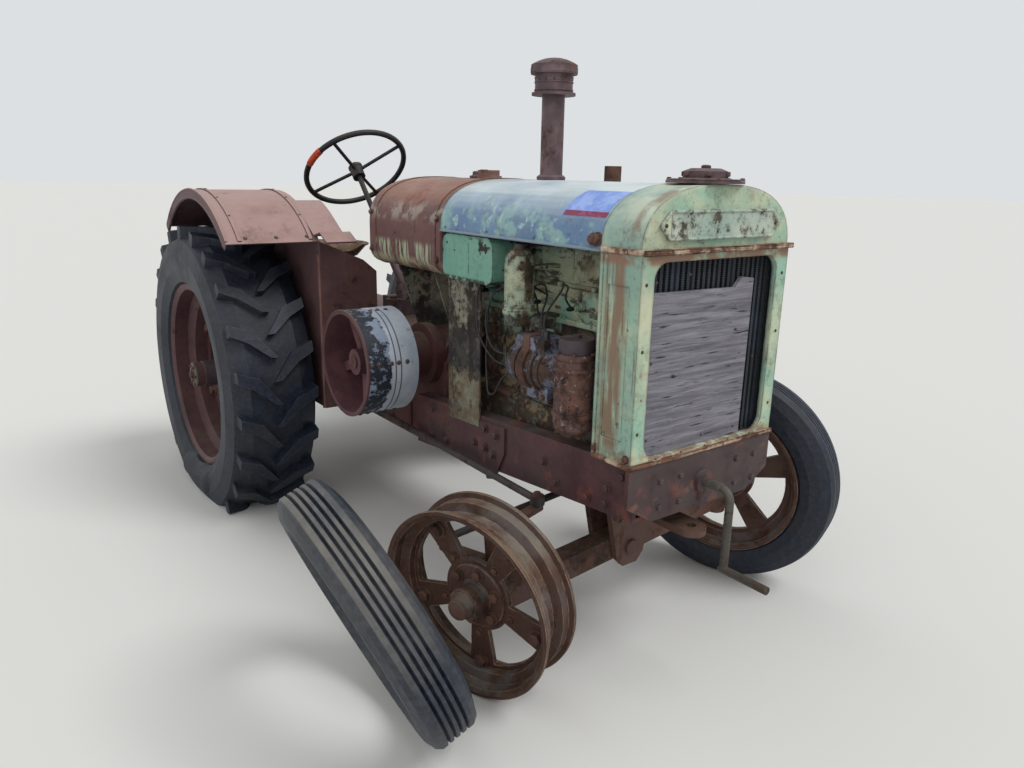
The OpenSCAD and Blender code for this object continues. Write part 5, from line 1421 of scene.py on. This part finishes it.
def addPulleyTrim(spec):
    spots = []
    for x in spec["rows"]:
        for i in range(5):
            # one of the five lines of rivets faces the front and right
            turn = math.radians(8) + 2 * math.pi * i / 5
            ahead, up = math.cos(turn), math.sin(turn)
            spots.append(((x, spec["ahead"] + spec["radius"] * ahead, spec["up"] + spec["radius"] * up),
                          (0, ahead, up), 0.95))
    fastenerSet(masterRivet, "pulleyRivets", spots, "darkPlum", "belt_pulley")
    edge = addTurned(mm("193.5 -1, 195.5 1, 195.5 6, 193.5 8, 186 8, 184 4, 186 -1, 193.5 -1"),
                     (spec["face"] - 0.0005, spec["ahead"], spec["up"]), 72, (1, 0, 0))
    finishPiece(edge, "pulleyEdge", "rearWheelRust", "belt_pulley")


addPulleyTrim(pulleyTrim)
print("pulley dressed")

# Fenders: rolled edges, rivets and brace bolts

fenderTrim = {
    "centre": (0.16, 0.745),
    "radius": 0.62,
    "out": 0.80,
    "inner": 0.43,
    "fromAngle": 46,
    "toAngle": 136,
    "flapAngle": 133.5,
    "bead": 0.006,
}


def addFenderTrim(spec):
    steps = 14
    low, high = spec["fromAngle"] + 1, spec["toAngle"] - 1
    angles = [low + (high - low) * i / steps for i in range(steps + 1)]
    for side, word in ((-1, "right"), (1, "left")):
        beads = []
        for inset, drop in ((0.004, 0.001), (0.0035, 0.033)):
            x, radius = spec["out"] - inset, spec["radius"] - drop
            beads.append(addTube([fenderPlace(spec, a, radius, side * x) for a in angles], spec["bead"]))
        finishPiece(joinPieces(beads), word + "FenderBead", "fenderRust")
        spots = []
        flap = spec["flapAngle"]
        for x in (0.475, 0.60, 0.72):
            spots.append((fenderPlace(spec, flap, spec["radius"], side * x), fenderFacing(flap), 0.9))
        for x in (spec["out"] - 0.055, spec["inner"] + 0.033):
            for a in (52, 66, 80, 94, 108, 122):
                place = fenderPlace(spec, a, spec["radius"] + 0.005, side * x)
                spots.append((place, fenderFacing(a), 0.55))
        fastenerSet(masterRivet, word + "FenderRivets", spots, "darkPlum")
        braces = [((side * (spec["inner"] - 0.0005), y, z), (-side, 0, 0), 1.2)
                  for y, z in ((0.45, 1.15), (0.1, 1.22), (-0.15, 1.05), (0.4, 0.62), (0.2, 0.8))]
        fastenerSet(masterBolt, word + "FenderBolts", braces, "fenderRust")


def fenderPlace(spec, angle, radius, left):
    turn = math.radians(angle)
    return (left, spec["centre"][0] - radius * math.cos(turn), spec["centre"][1] + radius * math.sin(turn))


def fenderFacing(angle):
    turn = math.radians(angle)
    return (0, -math.cos(turn), math.sin(turn))


addFenderTrim(fenderTrim)
print("fenders dressed")

# Stack bands and rivets, steering wheel nut and ribbon

topTrim = {
    "stack": (0.0, 1.531),
    "cage": 1.721,
}


def addTopTrim(spec):
    x, y = spec["stack"]
    cage = spec["cage"]
    bands = [addTurned([(0.060, h), (0.0632, h + 0.0015), (0.0632, h + 0.0055), (0.060, h + 0.007)],
                       (x, y, cage), 40) for h in (-0.012, 0.012, 0.026)]
    lip = addTurned(mm("74 42, 76.2 44, 76.2 58, 74 60.5"), (x, y, cage), 48)
    collar = addTurned(mm("36 0, 47 1, 48 10, 41 16, 36 18"),
                       (x, y, 1.433), 36)
    finishPiece(joinPieces(bands + [lip, collar]), "stackBands", "stackRust")
    turns = [i * math.pi / 7 for i in range(14)]
    slits = levelSpots((x, y), cage + 0.022, 0.0615, turns, 0.35, outward=True)
    fastenerSet(masterRivet, "stackRivets", slits, "darkPlum")


addTopTrim(topTrim)

wheelTrim = {"tilt": 42, "centre": (0.0, 0.06, 1.462), "ribbonTurn": 152, "ring": 0.239}


def addSteeringTrim(spec):
    lean = math.radians(spec["tilt"])
    axis = Vector((0, -math.sin(lean), math.cos(lean)))
    centre = Vector(spec["centre"])
    nut = addTurned(mm("0 0, 32 0, 34 4, 34 12, 26 18, 16 20, 16 28, 11 31, 0 31"),
                    tuple(centre), 28, tuple(axis))
    finishPiece(nut, "steeringNut", "steerSteel", "steering_wheel")
    across = Vector((1, 0, 0))
    rise = axis.cross(across).normalized()
    ring = []
    for i in range(7):
        turn = math.radians(spec["ribbonTurn"] + 3.2 * i)
        foot = centre + (across * math.cos(turn) + rise * math.sin(turn)) * spec["ring"]
        along = rise * math.cos(turn) - across * math.sin(turn)
        ring.append(addTurned(mm("12.8 0, 15.2 1, 15.6 7, 14.8 12.5, 12.8 13.5"),
                              tuple(foot), 20, tuple(along)))
    finishPiece(joinPieces(ring), "ribbonWrap", "ribbonCloth", "steering_wheel")


addSteeringTrim(wheelTrim)
print("stack and steering wheel dressed")

# Radiator cap, board nails and tank fittings

frontTrim = {
    "capCentre": (0.0, 2.18),
    "capFoot": 1.4355,
    "capTop": 0.0385,
    "nails": mm("-225 1190, -225 980, -225 770, 0 745, 140 745, 200 950, -100 1205"),
}


def addCapTrim(spec):
    x, y = spec["capCentre"]
    foot = spec["capFoot"]
    flange = addTurned(mm("101 7.2, 102.5 8.5, 102.5 10.5, 96 12, 90 8.5"),
                       (x, y, foot), 48)
    finishPiece(flange, "capFlange", "stackRust")
    knob = addTurned(mm("0 0, 11.5 0, 13 1.5, 13 6, 10.5 8.5, 5 9.5, 0 9.5"),
                     (x, y, foot + spec["capTop"]), 24)
    finishPiece(knob, "capKnob", "stackRust")
    lugs = []
    for i in range(6):
        place = around((x, y), 0.061, i * math.pi / 3 + 0.2)
        lugs.append(addBar((*place, foot + 0.018), (*place, foot + 0.0305), 0.0075, 10, 0.002))
    finishPiece(joinPieces(lugs), "capGrips", "stackRust")
    spots = levelSpots((x, y), foot + 0.0085, 0.097, [i * math.pi / 3 for i in range(6)], 0.55)
    fastenerSet(masterBolt, "capBolts", spots, "stackRust")


def addBoardNails(spec):
    face = at(0, 0, 0).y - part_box("grille_board")[0].y
    spots = [((x, face, z), (0, 1, 0), 0.5) for x, z in spec["nails"]]
    fastenerSet(masterRivet, "boardNails", spots, "darkPlum")


addCapTrim(frontTrim)
addBoardNails(frontTrim)

tankTrim = {"back": 0.779, "front": 1.306, "low": 1.105, "top": 1.434, "half": 0.2935}


def addTankTrim(spec):
    cap = addTurned(mm("0 0, 52 0, 54 4, 54 10, 46 12, 43 14, 43 23, 38 27, 16 28, 14 33, 0 33"),
                    (0.0, 1.14, spec["top"] - 0.002), 36)
    finishPiece(cap, "tankFiller", "stackRust")
    straps = bothSides([((-spec["half"] - 0.0005, y, z), (-1, 0, 0), 0.8)
                        for y in (spec["back"] + 0.02, spec["front"] - 0.022) for z in (1.16, 1.30)])
    fastenerSet(masterBolt, "tankStrapBolts", straps, "tankRust")
    cock = joinPieces([addBar((-0.14, 0.9, 1.06), (-0.14, 0.9, 1.108), 0.009, 12, 0.001),
                       addBar((-0.14, 0.9, 1.075), (-0.172, 0.9, 1.075), 0.005, 10, 0.001),
                       addTube(mm("-140 900 1062, -150 980 1045, -170 1150 1060, -190 1320 1090, "
                                  "-190 1400 1100"), 0.0042)])
    finishPiece(cock, "fuelCock", "oldIron")


def addStartingTankTrim():
    low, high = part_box("starting_tank")
    x = low.x - centreX
    back, front = rearAxleY - high.y, rearAxleY - low.y
    y = (back + front) / 2 + 0.01
    seam = addBlock((x - 0.0018, y, low.z + 0.028), (x + 0.006, y + 0.005, high.z - 0.022), 0.0012)
    finishPiece(seam, "startingTankSeam", "smoothMint")
    spots = [((x - 0.0005, y, 1.225), (-1, 0, 0), 0.5) for y in (back + 0.03, front - 0.04)]
    fastenerSet(masterRivet, "startingTankRivets", spots, "darkPlum")


addTankTrim(tankTrim)
addStartingTankTrim()
print("tanks dressed")

# Seat: rim, ribs and bolt

seatTrim = {"ahead": -0.3, "rim": 1.085, "radius": 0.205 * 0.997, "ribs": (0.05, 0.142)}


def addSeatTrim(spec):
    turns = [math.radians(52 - 284 * i / 15) for i in range(16)]
    line = [(*around((0, spec["ahead"]), spec["radius"], t), spec["rim"] - 0.003) for t in turns]
    rim = addTube(line, 0.0055)
    finishPiece(rim, "seatRim", "seatRust")
    ribs = []
    for i in range(7):
        turn = math.radians(180 + 180 * i / 6)
        inner, outer = [(*around((0, spec["ahead"]), r, turn), spec["rim"] - 0.0545) for r in spec["ribs"]]
        ribs.append(addBar(inner, outer, 0.0042, 8))
    finishPiece(joinPieces(ribs), "seatRibs", "seatRust")
    bolts = [((0, spec["ahead"], spec["rim"] - 0.056), (0, 0, 1), 1.6)]
    fastenerSet(masterBolt, "seatBolts", bolts, "seatRust")


addSeatTrim(seatTrim)
print("seat dressed")

# Kingpin caps and the nuts of the rod ends

kingpin = {
    "reach": 0.045,
    "cap": mm("16 -4, 26 -2, 27 2, 24 8, 10 12, 0 12"),
}
rodEnds = {"reach": 0.03, "size": 1.1, "bodies": ("tie_rod", "drag_link")}


def addSteeringJoints(spec):
    # a cap on each kingpin, where the axle's eye ends
    for word in ("right", "left"):
        middle, axis = jointLine("steer_" + word)
        top = middle + axis * topAlong(nodes["front_axle"], middle, axis, spec["reach"])
        cap = addTurned(spec["cap"], tuple(top), 24, tuple(axis))
        finishPiece(cap, word + "KingpinCap", "oldIron")


def addRodEnds(spec):
    for body in spec["bodies"]:
        middle, axis = jointLine(body + "_turn")
        top = middle + axis * topAlong(nodes[body], middle, axis, spec["reach"])
        spots = [(tuple(top), tuple(axis), spec["size"])]
        fastenerSet(masterBolt, body + "Nut", spots, "oldIron", body)


addSteeringJoints(kingpin)
addRodEnds(rodEnds)
print("steering joints dressed")

for master in (masterBolt, masterRivet):
    bpy.data.objects.remove(master)
print("pieces in place")
